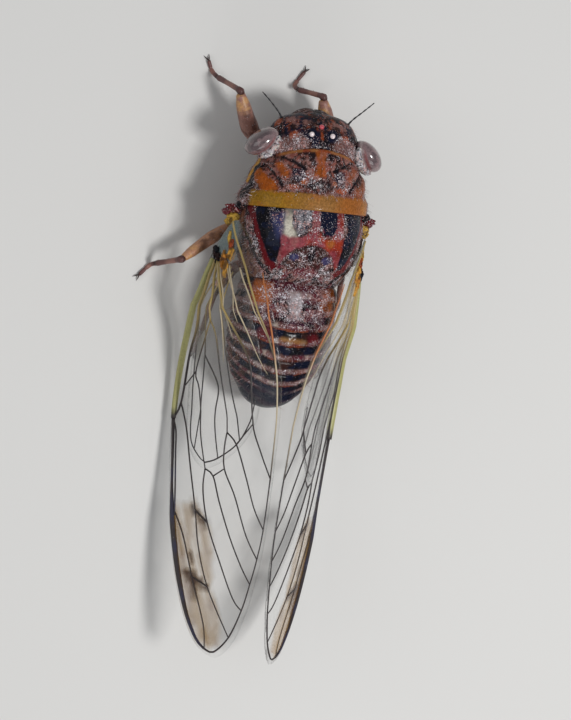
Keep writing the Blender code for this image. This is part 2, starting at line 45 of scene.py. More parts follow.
# Body sections: distance back, half width, top, bottom, height of the widest place, bow, sideways shift.
# The last two are left out where they are 0 all along.
SECTION_VALUES = 6
HEAD_SECTIONS = (
    (0.22, 0.4, 5.4, 4.4, 5.1, 0.0),
    (0.3, 1.0, 5.75, 4.05, 5.1, 0.0),
    (0.5, 1.8, 6.15, 3.65, 5.1, 0.0),
    (0.8, 2.45, 6.5, 3.3, 5.1, 0.01),
    (1.2, 2.85, 6.9, 3.0, 5.1, 0.02),
    (1.9, 3.3, 7.35, 2.6, 5.1, 0.05),
    (2.5, 3.4, 7.5, 2.4, 5.1, 0.075),
    (2.65, 3.36, 7.47, 2.44, 5.1, 0.075),
    (2.8, 3.2, 7.3, 2.6, 5.1, 0.075),
    (3.1, 2.9, 7.0, 2.9, 5.1, 0.075),
)
PRONOTUM_SECTIONS = (
    (2.62, 3.1, 7.2, 2.9, 5.0, 0.075),
    (2.68, 3.36, 7.5, 2.55, 5.0, 0.075),
    (2.8, 3.42, 7.65, 2.5, 5.0, 0.075),
    (3.7, 3.75, 8.05, 2.2, 5.0, 0.045),
    (4.8, 4.0, 8.3, 2.0, 5.0, 0.02),
    (5.5, 4.12, 8.34, 1.95, 4.95, 0.0),
    (5.75, 4.3, 8.44, 1.95, 4.9, 0.0),
    (6.05, 4.45, 8.53, 1.93, 4.9, 0.0),
    (6.65, 4.45, 8.56, 1.93, 4.9, 0.0),
    (6.78, 4.4, 8.5, 2.0, 4.9, 0.0),
    (6.8, 4.2, 8.3, 2.2, 4.9, 0.0),
)
THORAX_SECTIONS = (
    (6.3, 3.9, 8.2, 2.1, 4.9),
    (6.6, 4.05, 8.38, 1.95, 4.9),
    (6.9, 4.12, 8.52, 1.9, 4.9),
    (7.8, 4.25, 8.85, 1.75, 4.9),
    (9.2, 4.15, 8.95, 1.65, 4.9),
    (10.3, 3.8, 8.55, 1.65, 4.8),
    (11.0, 3.4, 7.95, 1.72, 4.7),
    (11.4, 3.2, 7.45, 1.8, 4.7),
    (11.75, 2.9, 6.7, 2.1, 4.65),
)
ABDOMEN_SECTIONS = (
    (11.2, 2.9, 6.6, 1.95, 4.6, 0.0, 0.0),
    (11.6, 3.15, 6.95, 1.8, 4.6, 0.0, 0.0),
    (12.7, 3.35, 7.3, 1.6, 4.6, 0.0, 0.1),
    (14.2, 3.4, 7.35, 1.5, 4.5, 0.0, 0.2),
    (16.0, 3.3, 7.0, 1.5, 4.3, 0.0, 0.25),
    (17.6, 2.85, 6.4, 1.6, 4.0, 0.0, 0.25),
    (18.9, 2.1, 5.6, 1.85, 3.7, 0.0, 0.2),
    (19.7, 1.4, 4.85, 2.15, 3.5, 0.0, 0.2),
    (20.05, 0.7, 4.15, 2.65, 3.42, 0.0, 0.2),
    (20.15, 0.2, 3.6, 3.2, 3.4, 0.0, 0.2),
)
RINGS = (11.6, 12.7, 13.8, 14.9, 15.95, 16.95, 17.85, 18.65, 19.3, 20.1)
RING_LEAN = 1.7
# The front of the body is a little askew: its left side sits further back than its right
FRONT_SKEW = 0.05
SKEW_FADE = (11.0, 8.5)
OPERCULUM_CENTRE = (1.4, 12.65, 1.45)
OPERCULUM_RADII = (1.0, 1.0, 0.75)

# Head pieces
EYE_CENTRES = {1: (3.6, 2.66, 5.75), -1: (-3.8, 2.61, 5.75)}
EYE_RADII = (1.27, 0.74, 1.05)
EYE_AXIS = (-0.7, -0.62, 0.35)
RIM_END = {1: 125.0, -1: 150.0}
FACE_CENTRE = (0.0, 1.7, 4.4)
FACE_RADII = (1.8, 1.75, 2.3)
OCELLUS_RADIUS = 0.175
OCELLI = ((0.0, 1.2, 6.95), (0.72, 1.75, 7.35), (-0.72, 1.75, 7.35))
FEELER = ((1.85, 1.6, 5.2), (2.0, 1.35, 5.2), (2.5, 0.55, 5.3), (3.2, -0.15, 5.4), (3.9, -0.8, 5.3))
BEAK = ((0.0, 1.5, 2.3), (0.0, 2.2, 1.75), (0.0, 3.0, 1.3), (0.0, 5.2, 1.2), (0.0, 7.6, 1.15))
BEAK_RADII = (0.5, 0.5, 0.4, 0.32, 0.12)

# Wings: places are (s, w), s along the wing from its start and w up from the lowest line of the roof
WING_START = 10.2
WING_FOOT_X = 5.7
WING_FOOT_Z = 0.62
ROOF_SHIFT = 0.1
HINGE_RISE = 1.0
HINGE_REACH = 6.0
HINGE_LEAN = 0.305
WING_DEPTH = 9.5
WING_SCALE = 0.97
RIGHT_YAW = 0.4
ROOF_SLOPES = ((8.0, 66.0), (11.0, 63.0), (14.0, 63.0), (18.0, 59.0), (21.0, 57.2), (37.5, 55.0))
ROOF_BULGES = {
    1: ((8.0, 0.1), (10.2, 0.4), (12.0, 1.3), (14.0, 1.9), (18.0, 1.2), (21.0, 0.55), (37.5, 0.4)),
    -1: ((8.0, 0.1), (10.2, 0.3), (12.0, 0.6), (14.0, 0.85), (18.0, 0.7), (21.0, 0.45), (37.5, 0.4)),
}
UNDER_WING = {1: 0.7, -1: 0.3}
MEMBRANE = 0.03
CELL = 0.4
FINE = 0.065
AROUND = 420

# Ends of the long veins on the vein that runs along the wing's edge
NODE = (11.5, 0.45)
APEX = (26.3, 6.2)
TIPS = ((26.4, 7.0), (25.3, 8.05), (23.4, 8.8), (21.6, 9.2), (19.9, 9.5), (17.9, 9.7), (14.5, 9.75))
FORK_M = (4.7, 4.55)
FORK_MID = (14.5, 4.3)
FORK_REAR = (11.9, 5.85)
FOREWING_OUTLINE = (
    (-2.1, 4.2), (-0.9, 3.1), (0.5, 2.45), (2.0, 2.45), (3.4, 2.25), (4.9, 1.4), (6.6, 0.65), (8.4, 0.2),
    (10.4, 0.1), (13.6, 0.55), (17.9, 1.4), (20.8, 2.35), (23.9, 3.75), (26.0, 5.3), (26.75, 6.8),
    (26.55, 7.6), (25.4, 8.55), (23.4, 9.25), (21.6, 9.6), (19.9, 9.85), (17.9, 9.98), (14.4, 9.98),
    (9.1, 9.95), (6.8, 9.75), (3.4, 9.25), (0.9, 8.2), (-0.5, 6.7), (-1.8, 5.1),
)
FOREWING_VEINS = {
    "costa": ((0.6, 2.8), (2.2, 2.8), (3.5, 2.55), (4.9, 1.75), (6.6, 1.0), (8.4, 0.55), (10.3, 0.4), NODE),
    "front_edge": (NODE, (13.6, 0.85), (17.2, 1.55), (20.8, 2.7), (23.9, 4.1), (25.7, 5.35), APEX),
    "front_twin": (NODE, (12.3, 0.92), (13.6, 1.17), (16.2, 1.67), (17.9, 1.95)),
    "edge": (APEX, *TIPS),
    "radius": ((0.7, 3.15), (3.0, 3.35), (5.2, 2.9), (7.2, 1.85), (10.4, 1.1), NODE),
    "radial_rear": ((10.4, 1.1), (12.0, 1.98), (14.2, 2.77), (17.3, 3.87), (19.6, 4.55), (22.2, 5.8),
                    TIPS[1]),
    "radial_front": ((17.2, 1.55), (19.0, 2.97), (21.7, 4.34), (24.7, 5.85), APEX),
    "cross_far": ((21.7, 4.34), (22.2, 5.8)),
    "cross_near": ((17.3, 3.87), (18.0, 5.1)),
    "media": ((0.7, 3.4), (1.7, 3.85), (3.2, 4.45), FORK_M),
    "media_front": (FORK_M, (6.0, 3.8), (8.2, 2.72), (9.3, 3.07), (12.0, 3.4), FORK_MID),
    "cross_radial": ((8.2, 2.72), (9.3, 1.35)),
    "media_two": (FORK_MID, (15.9, 4.35), (18.0, 5.1), (20.5, 6.6), (22.7, 8.0), TIPS[2]),
    "media_three": (FORK_MID, (14.9, 5.1), (16.5, 5.9), (18.8, 7.2), (20.6, 8.4), TIPS[3]),
    "cross_mid": ((14.9, 5.1), (14.3, 6.0)),
    "media_rear": (FORK_M, (5.6, 5.0), (8.1, 5.25), FORK_REAR),
    "media_four": (FORK_REAR, (12.9, 5.78), (14.3, 6.0), (16.0, 7.15), (18.4, 8.4), TIPS[4]),
    "media_five": (FORK_REAR, (12.6, 6.76), (14.6, 7.85), (16.6, 8.8), TIPS[5]),
    "cross_rear": ((12.6, 6.76), (11.8, 7.35), (11.1, 7.9)),
    "cubitus": ((0.8, 3.6), (2.3, 4.77), (4.4, 6.2), (6.9, 7.6), (8.9, 7.75), (11.1, 7.9), (12.9, 8.8),
                TIPS[6]),
    "claval": ((-2.0, 4.0), (-1.3, 4.4), (-0.1, 5.3), (1.4, 6.8), (3.1, 8.0), (4.8, 8.8), (6.8, 9.4)),
    "claval_fold": ((0.9, 4.6), (3.35, 6.7), (6.7, 8.3), (7.7, 8.9)),
    "pleat_one": ((0.6, 3.28), (2.3, 4.68), (3.6, 5.5), (5.5, 5.64), (7.3, 5.55)),
    "pleat_two": ((0.8, 3.77), (2.8, 5.35), (4.5, 6.08), (5.7, 6.48)),
    "pleat_three": ((0.9, 4.79), (2.5, 6.1), (4.6, 6.92)),
    "pleat_four": ((1.0, 5.9), (2.4, 7.22), (4.0, 8.28), (5.7, 9.11)),
    "hind_edge": ((1.1, 7.9), (3.4, 8.9), (6.8, 9.4), (9.1, 9.62), (11.8, 9.7), TIPS[6]),
}
HINDWING_OUTLINE = (
    (0.6, 3.8), (2.0, 2.6), (4.5, 1.6), (8.0, 1.1), (11.0, 1.1), (12.8, 1.5), (14.1, 2.6), (14.5, 3.6),
    (14.1, 4.8), (12.9, 6.4), (11.4, 7.4), (9.6, 7.9), (7.0, 8.0), (4.0, 7.4), (1.6, 6.0),
)
HINDWING_VEINS = {
    "front": ((0.9, 4.1), (3.0, 2.6), (6.0, 1.85), (9.5, 1.55), (12.5, 1.8), (13.7, 2.8), (14.1, 3.6)),
    "edge": ((14.1, 3.6), (13.7, 4.7), (12.6, 6.2), (11.2, 7.0), (9.5, 7.5)),
    "middle": ((1.0, 4.3), (4.0, 3.2), (7.0, 2.95), (10.0, 2.55), (13.3, 2.35)),
    "fork": ((7.0, 2.95), (8.9, 4.3), (11.0, 3.95), (13.7, 4.7)),
    "rear": ((1.3, 4.7), (5.0, 5.0), (9.0, 5.5), (12.3, 6.4)),
}

# Legs: points from the body to the knee, and from the knee to the tip of the foot, whose last two points lie
# at the foot's height
FOOT_HEIGHT = 0.17
LEGS = {
    "leg_front_left": (
        ((1.5, 3.9, 2.4), (2.3, 2.9, 1.75), (3.6, 1.7, 2.4), (4.75, -0.2, 3.4)),
        ((4.95, -0.6, 3.3), (5.85, -1.35, 0.85), (6.1, -1.75), (6.6, -2.75)),
    ),
    "leg_front_right": (
        ((-1.5, 3.9, 2.4), (-2.3, 2.9, 1.7), (-1.95, 1.1, 2.0), (-1.15, -0.65, 2.95)),
        ((-0.95, -1.05, 2.9), (0.15, -1.35, 0.95), (0.2, -1.7), (-0.55, -3.0)),
    ),
    "leg_middle_left": (
        ((1.6, 7.9, 2.2), (2.9, 8.1, 1.6), (4.6, 9.0, 2.1), (6.9, 10.95, 3.0)),
        ((7.25, 11.15, 2.85), (8.3, 11.6, 0.8), (8.55, 11.8), (9.4, 12.8)),
    ),
    "leg_middle_right": (
        ((-1.6, 7.7, 2.2), (-2.6, 7.7, 1.5), (-3.5, 8.9, 1.75), (-4.3, 10.5, 2.0)),
        ((-4.4, 10.9, 1.9), (-4.75, 12.8, 0.8), (-4.8, 13.2), (-4.75, 14.6)),
    ),
    "leg_hind_left": (
        ((1.5, 10.4, 2.2), (2.3, 10.7, 1.4), (3.2, 11.3, 1.5), (4.1, 12.5, 1.9)),
        ((4.2, 12.95, 1.85), (4.5, 15.7, 0.8), (4.55, 16.15), (4.7, 17.6)),
    ),
    "leg_hind_right": (
        ((-1.5, 10.4, 2.2), (-2.3, 10.7, 1.4), (-3.2, 11.3, 1.5), (-4.1, 12.5, 1.9)),
        ((-4.2, 12.95, 1.85), (-4.4, 15.9, 0.8), (-4.4, 16.35), (-4.3, 17.8)),
    ),
}

# Camera: it looks down on the insect's back, from its left side, with the head near the top of the picture
VIEW_TILT = math.radians(17.0)
VIEW_ROLL = math.radians(8.0)
VIEW_TARGET = (-0.36, 16.8, 5.0)
LENS = 250.0
VIEW_DISTANCE = 333.0

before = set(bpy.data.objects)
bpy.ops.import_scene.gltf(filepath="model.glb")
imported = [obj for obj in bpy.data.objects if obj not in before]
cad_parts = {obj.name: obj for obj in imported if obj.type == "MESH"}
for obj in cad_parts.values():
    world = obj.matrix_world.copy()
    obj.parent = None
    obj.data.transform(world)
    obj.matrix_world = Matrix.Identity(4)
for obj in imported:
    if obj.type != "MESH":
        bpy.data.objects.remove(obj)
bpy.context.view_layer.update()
collar_low, collar_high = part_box("pronotum")
ORIGIN = np.array(((collar_low.x + collar_high.x) / 2, collar_high.y - COLLAR_END * MM, 0.0))


def place(points):
    """Insect's frame in millimetres to the model's frame in metres."""
    return np.asarray(points, float) * MM + ORIGIN


# Numbers and curves

def smooth(places, values, at):
    """Smooth curve through a table, with its slopes held so that it never swings past the given values."""
    places, values, at = (np.asarray(a, float) for a in (places, values, at))
    runs = np.diff(places)
    rises = np.diff(values) / runs
    slopes = np.concatenate(([rises[0]], (rises[1:] + rises[:-1]) / 2, [rises[-1]]))
    turns = np.concatenate(([False], rises[1:] * rises[:-1] <= 0, [False]))
    slopes[turns] = 0.0
    limit = 3.0 * np.minimum(np.abs(np.append(rises, rises[-1])), np.abs(np.append(rises[0], rises)))
    slopes = np.clip(slopes, -limit, limit)
    k = np.clip(np.searchsorted(places, at, side="right") - 1, 0, len(runs) - 1)
    u = np.clip((at - places[k]) / runs[k], 0.0, 1.0)
    rise = values[k + 1] - values[k]
    return (values[k] + rise * u * u * (3 - 2 * u)
            + runs[k] * (slopes[k] * u * (1 - u) ** 2 - slopes[k + 1] * u * u * (1 - u)))


def straight(table, at):
    """Straight steps through a table of places and values."""
    return np.interp(at, *np.array(table, float).T)


def fade(value, start, end):
    """0 before start, 1 after end, and smooth between; start may be past end."""
    u = np.clip((value - start) / (end - start), 0.0, 1.0)
    return u * u * (3 - 2 * u)


NOISE_SEED = 374761393
NOISE_FACTORS = (668265263, 2147483647, 1274126177)


def noise(points, size, seed):
    """Smooth noise from 0 to 1 with features of about one size."""
    spots = np.asarray(points, float) / size + 37.0 * (seed % 89)
    cell = np.floor(spots).astype(np.int64)
    u = spots - cell
    u = u * u * (3 - 2 * u)
    total = 0.0
    for corner in np.ndindex(*(2,) * spots.shape[-1]):
        near = cell + corner
        mixed = seed * NOISE_SEED
        for k, factor in zip(range(spots.shape[-1]), NOISE_FACTORS):
            mixed = mixed ^ (near[..., k] * factor)
        mixed = (mixed ^ (mixed >> 13)) * NOISE_FACTORS[-1]
        value = ((mixed ^ (mixed >> 16)) & 0xFFFF) / 0xFFFF
        total = total + value * np.prod(np.where(corner, u, 1 - u), axis=-1)
    return total


def layered(points, size, seed):
    """Noise with finer and fainter layers over the first."""
    total, weight = 0.0, 0.0
    for k in range(3):
        total = total + noise(points, size / 2 ** k, seed + 11 * k) / 1.6 ** k
        weight += 1 / 1.6 ** k
    return total / weight


def smooth_line(corners, spacing=0.06, closed=False):
    """Run of points at about one spacing on a smooth curve through the corners."""
    corners = [np.array(c, float) for c in corners]
    count = len(corners)
    points = []
    for k in range(count if closed else count - 1):
        around = range(k - 1, k + 3)
        a, b, c, d = (corners[j % count if closed else min(max(j, 0), count - 1)] for j in around)
        steps = max(1, round(float(np.linalg.norm(c - b)) / spacing))
        for j in range(steps):
            t = j / steps
            points.append(0.5 * (2 * b + (c - a) * t + (2 * a - 5 * b + 4 * c - d) * t ** 2
                                 + (3 * b - a - 3 * c + d) * t ** 3))
    return np.array(points if closed else [*points, corners[-1]])


def skewed(points):
    """Places with the slight skew of the insect's front half."""
    points = np.array(points, float)
    points[..., 1] += FRONT_SKEW * points[..., 0] * fade(points[..., 1], *SKEW_FADE)
    return points


# Meshes: a shape is its points in millimetres, its faces and the colours of its points

def add_object(name, data):
    obj = bpy.data.objects.new(name, data)
    bpy.context.scene.collection.objects.link(obj)
    return obj


def make_piece(name, shape, material, replaces=(), seats=None):
    """Mesh piece from a shape; seats are its places on the unwrap."""
    points, faces, colours = shape
    mesh = bpy.data.meshes.new(name)
    mesh.from_pydata(place(points).tolist(), [], [tuple(map(int, f)) for f in faces])
    mesh.update()
    mesh.shade_smooth()
    mesh.materials.append(material)
    rgba = np.zeros((len(points), 4), np.float32)
    rgba[:, :colours.shape[1]] = colours
    mesh.color_attributes.new("Paint", "FLOAT_COLOR", "POINT").data.foreach_set("color", rgba.ravel())
    if seats is not None:
        corners = np.empty(len(mesh.loops), np.int32)
        mesh.loops.foreach_get("vertex_index", corners)
        unwrap = mesh.uv_layers.new(name="OFBake")
        unwrap.data.foreach_set("uv", np.asarray(seats, np.float32)[corners].ravel())
    obj = add_object(name, mesh)
    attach(obj, "root")
    if replaces:
        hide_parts(*replaces)
    return obj


def closed_grid(rows, columns):
    """Faces of rows of points that close round, with a cap at both ends."""
    k, j = np.meshgrid(np.arange(rows - 1), np.arange(columns), indexing="ij")
    here, beside = k * columns + j, k * columns + (j + 1) % columns
    quads = np.stack((here, beside, beside + columns, here + columns), -1).reshape(-1, 4)
    last = (rows - 1) * columns
    return [tuple(f) for f in quads] + [tuple(range(columns - 1, -1, -1)), tuple(range(last, last + columns))]


def join(parts):
    """One shape from several."""
    points, faces, colours, start = [], [], [], 0
    for part_points, part_faces, part_colours in parts:
        points.append(part_points)
        faces += [tuple(int(k) + start for k in face) for face in part_faces]
        colours.append(part_colours)
        start += len(part_points)
    return np.concatenate(points), faces, np.concatenate(colours)


def unit(vectors):
    return vectors / np.linalg.norm(vectors, axis=-1, keepdims=True)


def tube_along(run, radii, sides=12):
    """Points and faces of a round limb along a run."""
    run = np.asarray(run, float)
    ahead = unit(np.gradient(run, axis=0))
    across = np.cross(ahead, (0.0, 0.0, 1.0))
    upright = np.linalg.norm(across, axis=1) < 0.05
    across[upright] = np.cross(ahead[upright], (1.0, 0.0, 0.0))
    across = unit(across)
    over = np.cross(across, ahead)
    turn = np.linspace(0.0, 2 * math.pi, sides, endpoint=False)
    ring = np.cos(turn)[None, :, None] * across[:, None, :] + np.sin(turn)[None, :, None] * over[:, None, :]
    points = run[:, None, :] + ring * np.asarray(radii)[:, None, None]
    return points.reshape(-1, 3), closed_grid(len(run), sides)


def unit_ball(rows, columns):
    """Points and faces of a ball of radius 1 whose poles lie along its third axis."""
    up = np.linspace(0.02, math.pi - 0.02, rows)
    turn = np.linspace(0.0, 2 * math.pi, columns, endpoint=False)
    up, turn = np.meshgrid(up, turn, indexing="ij")
    points = np.stack((np.sin(up) * np.cos(turn), np.sin(up) * np.sin(turn), np.cos(up)), -1)
    return points.reshape(-1, 3), closed_grid(rows, columns)


# Body surfaces: a place is given by its distance back and its angle round the body, with 90 degrees on top

def section_curves(sections, back):
    """Columns of a table of sections at some distances back; the last ones may be left out of the table."""
    table = np.array(sections, float).T
    curves = [smooth(table[0], column, back) for column in table[1:]]
    return curves + [0.0] * (SECTION_VALUES - len(curves))


def body_point(sections, back, angle, lift=0.0):
    half, top, bottom, middle, bow, shift = section_curves(sections, back)
    rise = np.sin(angle)
    reach = np.where(rise > 0.0, top - middle, middle - bottom)
    normal = unit(np.stack((np.cos(angle) / half, np.zeros_like(rise), rise / reach), -1))
    x = half * np.cos(angle)
    points = skewed(np.stack((x + shift, back + bow * x * x, middle + reach * rise), -1))
    return points + normal * np.asarray(lift)[..., None]


def body_grid(sections):
    """Rows and angles over a whole body part, closer together where its section changes fast."""
    rows = [sections[0][0]]
    for near, far in zip(sections, sections[1:]):
        count = max(2, round((far[0] - near[0]) / FINE))
        rows += list(np.linspace(near[0], far[0], count + 1)[1:])
    angle = np.linspace(0.0, 2 * math.pi, AROUND, endpoint=False) - math.pi / 2
    return np.meshgrid(np.array(rows), angle, indexing="ij")


def girth(sections, back, angle):
    """Distance round the body from its top line, to the left if it is above 0, at the widest radius there."""
    from_top = (math.pi / 2 - angle + math.pi) % (2 * math.pi) - math.pi
    return section_curves(sections, back)[0] * from_top


# Patterns: a mark is a shape in the plane of (girth, distance back), and a share says how much of it is there

def plane(s, t):
    return np.stack((s, t), -1)


def patchy(points, size, seed, start, end):
    """Share of patches of about one size."""
    return fade(noise(points, size, seed), start, end)


def cloudy(points, size, seed, start, end):
    """Share of patches of many sizes up to a largest one."""
    return fade(layered(points, size, seed), start, end)


def ragged(s, t, seed, size=0.25, amount=0.12):
    """The same places, moved a little by noise, so that a mark has a natural edge."""
    spots = plane(s, t)
    return (s + amount * (layered(spots, size, seed) - 0.5) * 2,
            t + amount * (layered(spots, size, seed + 5) - 0.5) * 2)


def in_polygon(s, t, corners, soft=0.06):
    """1 inside a polygon and 0 outside, with a soft edge."""
    inside = np.zeros(s.shape, bool)
    for a, b in zip(corners, [*corners[1:], corners[0]]):
        crosses = (a[1] > t) != (b[1] > t)
        slope = (b[0] - a[0]) / (b[1] - a[1]) if a[1] != b[1] else 0.0
        inside ^= crosses & (s < a[0] + (t - a[1]) * slope)
    nearest = to_line(s, t, [*corners, corners[0]])
    return fade(np.where(inside, nearest, -nearest), -soft, soft)


def to_line(s, t, corners):
    """Distance to a line through corners."""
    nearest = np.full(s.shape, 1e9)
    for a, b in zip(corners, corners[1:]):
        run = (b[0] - a[0], b[1] - a[1])
        length = max(run[0] ** 2 + run[1] ** 2, 1e-9)
        u = np.clip(((s - a[0]) * run[0] + (t - a[1]) * run[1]) / length, 0.0, 1.0)
        nearest = np.minimum(nearest, np.hypot(s - a[0] - u * run[0], t - a[1] - u * run[1]))
    return nearest


def on_line(s, t, corners, width, soft=0.05):
    """1 on a line of some width and 0 away from it."""
    return fade(to_line(s, t, corners), width / 2 + soft, width / 2 - soft)


def in_spot(s, t, centre, radii, soft=0.2):
    """1 inside an oval and 0 outside; soft is a share of its size."""
    return fade(np.hypot((s - centre[0]) / radii[0], (t - centre[1]) / radii[1]), 1 + soft, 1 - soft)


def lay(base, *coats):
    """Colours with others laid over them in turn, each given as a colour and its share."""
    for colour, share in coats:
        base = base + (np.array(colour) - base) * np.asarray(share)[..., None]
    return base


def even(count, colour):
    """The same colour for a number of points."""
    return np.tile(np.array(colour, float), (count, 1))


def with_pile(colours, pile):
    """Colours with the share of silver pile as their fourth channel."""
    pile = np.broadcast_to(pile, colours.shape[:-1])
    return np.concatenate((colours, np.clip(pile, 0.0, 1.0)[..., None]), -1)


def plain(points, colour, pile=0.0):
    return with_pile(even(len(points), colour), pile)


def painted(form, paint, *values):
    """Shape from its points and faces and what paints its points."""
    points, faces = form
    return points, faces, paint(points, *values)


# Materials

PILE_GRAIN = 0.085
PILE_PINK = (0.4, 0.21, 0.19)
PILE_SILVER = (0.66, 0.64, 0.68)
# Where noise plus the share of pile, brought to the first range, passes through the second, pile sets in
PILE_OFFSET = (-0.26, -0.015)
PILE_EDGE = (0.455, 0.545)
PILE_COVER = 0.92
PILE_TONE_SIZE = 0.5
SPARKLE_SIZE = 0.16
SPARKLE = (0.3, 1.45)


def new_material(name, **values):
    """Material, its node tree and its shader, whose sockets are named with underscores for spaces."""
    material = bpy.data.materials.new(name)
    material.use_nodes = True
    shader = material.node_tree.nodes["Principled BSDF"]
    for socket, value in values.items():
        shader.inputs[socket.replace("_", " ")].default_value = value
    return material, material.node_tree, shader


def fill_inputs(tree, node, inputs):
    """Inputs of a node, each set to a value or linked to another node's output."""
    for name, value in inputs.items():
        if isinstance(value, bpy.types.NodeSocket):
            tree.links.new(value, node.inputs[name])
        else:
            node.inputs[name].default_value = value


def add_node(tree, kind, output, inputs, **settings):
    """One output of a new node."""
    node = tree.nodes.new("ShaderNode" + kind)
    for name, value in settings.items():
        setattr(node, name, value)
    fill_inputs(tree, node, inputs)
    return node.outputs[output]


def mesh_paint(tree):
    """Colour and fourth channel of the colours on the mesh."""
    paint = tree.nodes.new("ShaderNodeAttribute")
    paint.attribute_name = "Paint"
    return paint.outputs["Color"], paint.outputs["Alpha"]


def grains(tree, size, detail=3.0):
    """Noise whose features are about one size in millimetres, on the piece's own places."""
    where = add_node(tree, "TexCoord", "Object", {})
    return add_node(tree, "TexNoise", "Fac", {"Vector": where, "Scale": 1.0 / (size * MM), "Detail": detail})


def remap(tree, source, *limits):
    """A value brought from one range to another."""
    names = ("From Min", "From Max", "To Min", "To Max")
    return add_node(tree, "MapRange", "Result", {"Value": source, **dict(zip(names, limits))})


def shaded(tree, colour, factor):
    return add_node(tree, "VectorMath", "Vector", {0: colour, "Scale": factor}, operation="SCALE")


def blended(tree, factor, a, b):
    return add_node(tree, "Mix", "Result", {"Factor": factor, "A": a, "B": b}, data_type="RGBA")


def painted_material(name, roughness=(0.3, 0.55), grain=0.12, mottle=0.25, bump=0.5, depth=0.012, **values):
    """Shell, skin or limb that takes its colours from the mesh, with fine grain in colour, gloss and relief.

    The fourth channel of its colours is the share of the surface that silver pile covers.
    """
    material, tree, shader = new_material(name, **values)
    colour, pile = mesh_paint(tree)
    texture = grains(tree, grain)
    skin = shaded(tree, colour, remap(tree, texture, 0.3, 0.7, 1.0 - mottle, 1.0 + mottle))
    share = remap(tree, pile, 0.0, 1.0, *PILE_OFFSET)
    cover = add_node(tree, "Math", "Value", {0: grains(tree, PILE_GRAIN, 1.5), 1: share}, operation="ADD")
    covered = remap(tree, cover, *PILE_EDGE, 0.0, PILE_COVER)
    tone = remap(tree, grains(tree, PILE_TONE_SIZE, 2.0), 0.4, 0.6, 0.0, 1.0)
    silver = blended(tree, tone, (*PILE_PINK, 1.0), (*PILE_SILVER, 1.0))
    sparkle = remap(tree, grains(tree, SPARKLE_SIZE, 1.5), 0.35, 0.65, *SPARKLE)
    pits = {"Strength": bump, "Distance": depth * MM, "Height": grains(tree, grain * 0.6, 2.0)}
    scales = {"Strength": bump, "Distance": 2.0 * depth * MM, "Height": covered,
              "Normal": add_node(tree, "Bump", "Normal", pits)}
    fill_inputs(tree, shader, {
        "Base Color": blended(tree, covered, skin, shaded(tree, silver, sparkle)),
        "Roughness": remap(tree, texture, 0.3, 0.7, *roughness),
        "Normal": add_node(tree, "Bump", "Normal", scales),
    })
    return material


# Stage

CAMERA_CLIP = (0.001, 10.0)
FLOOR_REACH = 0.6
FLOOR_COLOUR = (0.66, 0.65, 0.63, 1.0)
SKY_COLOUR = (0.93, 0.96, 1.0, 1.0)
SKY_STRENGTH = 0.34
LIGHT_TARGET = (0.0, 12.0, 5.0)
# Lights: name, place, size in millimetres and power in watts
LIGHTS = (
    ("key_light", (-66.0, 40.0, 185.0), 36.0, 0.24),
    ("fill_light", (150.0, 20.0, 110.0), 120.0, 0.05),
    ("rear_light", (-30.0, 190.0, 90.0), 90.0, 0.05),
)


def make_camera():
    back = np.array((math.sin(VIEW_TILT), 0.0, math.cos(VIEW_TILT)))
    side = np.array((math.cos(VIEW_TILT), 0.0, -math.sin(VIEW_TILT)))
    ahead = np.array((0.0, -1.0, 0.0))
    up = math.cos(VIEW_ROLL) * ahead + math.sin(VIEW_ROLL) * side
    camera = add_object("camera", bpy.data.cameras.new("camera"))
    camera.data.lens = LENS
    camera.data.clip_start, camera.data.clip_end = CAMERA_CLIP
    spot = place(np.array(VIEW_TARGET) + back * VIEW_DISTANCE)
    rows = np.column_stack((np.cross(up, back), up, back, spot))
    camera.matrix_world = Matrix([*rows.tolist(), (0.0, 0.0, 0.0, 1.0)])
    bpy.context.scene.camera = camera


def make_floor():
    mesh = bpy.data.meshes.new("floor")
    corners = [(FLOOR_REACH * x, FLOOR_REACH * y, 0) for x, y in ((-1, -1), (1, -1), (1, 1), (-1, 1))]
    mesh.from_pydata(corners, [], [(0, 1, 2, 3)])
    floor = add_object("floor", mesh)
    mesh.materials.append(new_material("pale_floor", Base_Color=FLOOR_COLOUR, Roughness=0.9,
                                       Specular_IOR_Level=0.1)[0])


def make_lights():
    world = bpy.data.worlds.new("soft_light")
    bpy.context.scene.world = world
    world.use_nodes = True
    sky = world.node_tree.nodes["Background"]
    sky.inputs["Color"].default_value = SKY_COLOUR
    sky.inputs["Strength"].default_value = SKY_STRENGTH
    target = Vector(place(LIGHT_TARGET))
    for name, spot, size, power in LIGHTS:
        light = bpy.data.lights.new(name, "AREA")
        light.size = size * MM
        light.energy = power
        obj = add_object(name, light)
        obj.location = Vector(place(spot))
        obj.rotation_euler = (obj.location - target).to_track_quat("Z", "Y").to_euler()
    bpy.context.scene.view_settings.view_transform = "Standard"


# Trunk: colours are red, green, blue and the share of silver pile, which the shell's shader turns into specks

BLACK = (0.005, 0.0045, 0.007)
BLUE_BLACK = (0.005, 0.007, 0.02)
BLUE_SHEEN = (0.038, 0.042, 0.12)
DARK_BROWN = (0.03, 0.012, 0.01)
MAROON = (0.12, 0.02, 0.03)
RUST = (0.25, 0.05, 0.016)
COPPER = (0.2, 0.09, 0.05)
DUSTY_RED = (0.2, 0.065, 0.05)
ORANGE = (0.32, 0.075, 0.009)
OCHRE = (0.48, 0.24, 0.04)
TAN = (0.36, 0.18, 0.055)
OLIVE_GOLD = (0.26, 0.13, 0.012)
COLLAR_TAN = (0.27, 0.125, 0.035)
SILVER = (0.42, 0.39, 0.4)
CREAM = (0.58, 0.54, 0.45)
# Painted sheen: violet fringe between the blue sheen and the cream glare on the left of the thorax
VIOLET_SHEEN = (0.12, 0.1, 0.18)
PINK = (0.24, 0.115, 0.1)
CRIMSON = (0.235, 0.05, 0.062)
SCARLET = (0.24, 0.028, 0.013)
DEEP_RED = (0.11, 0.008, 0.011)
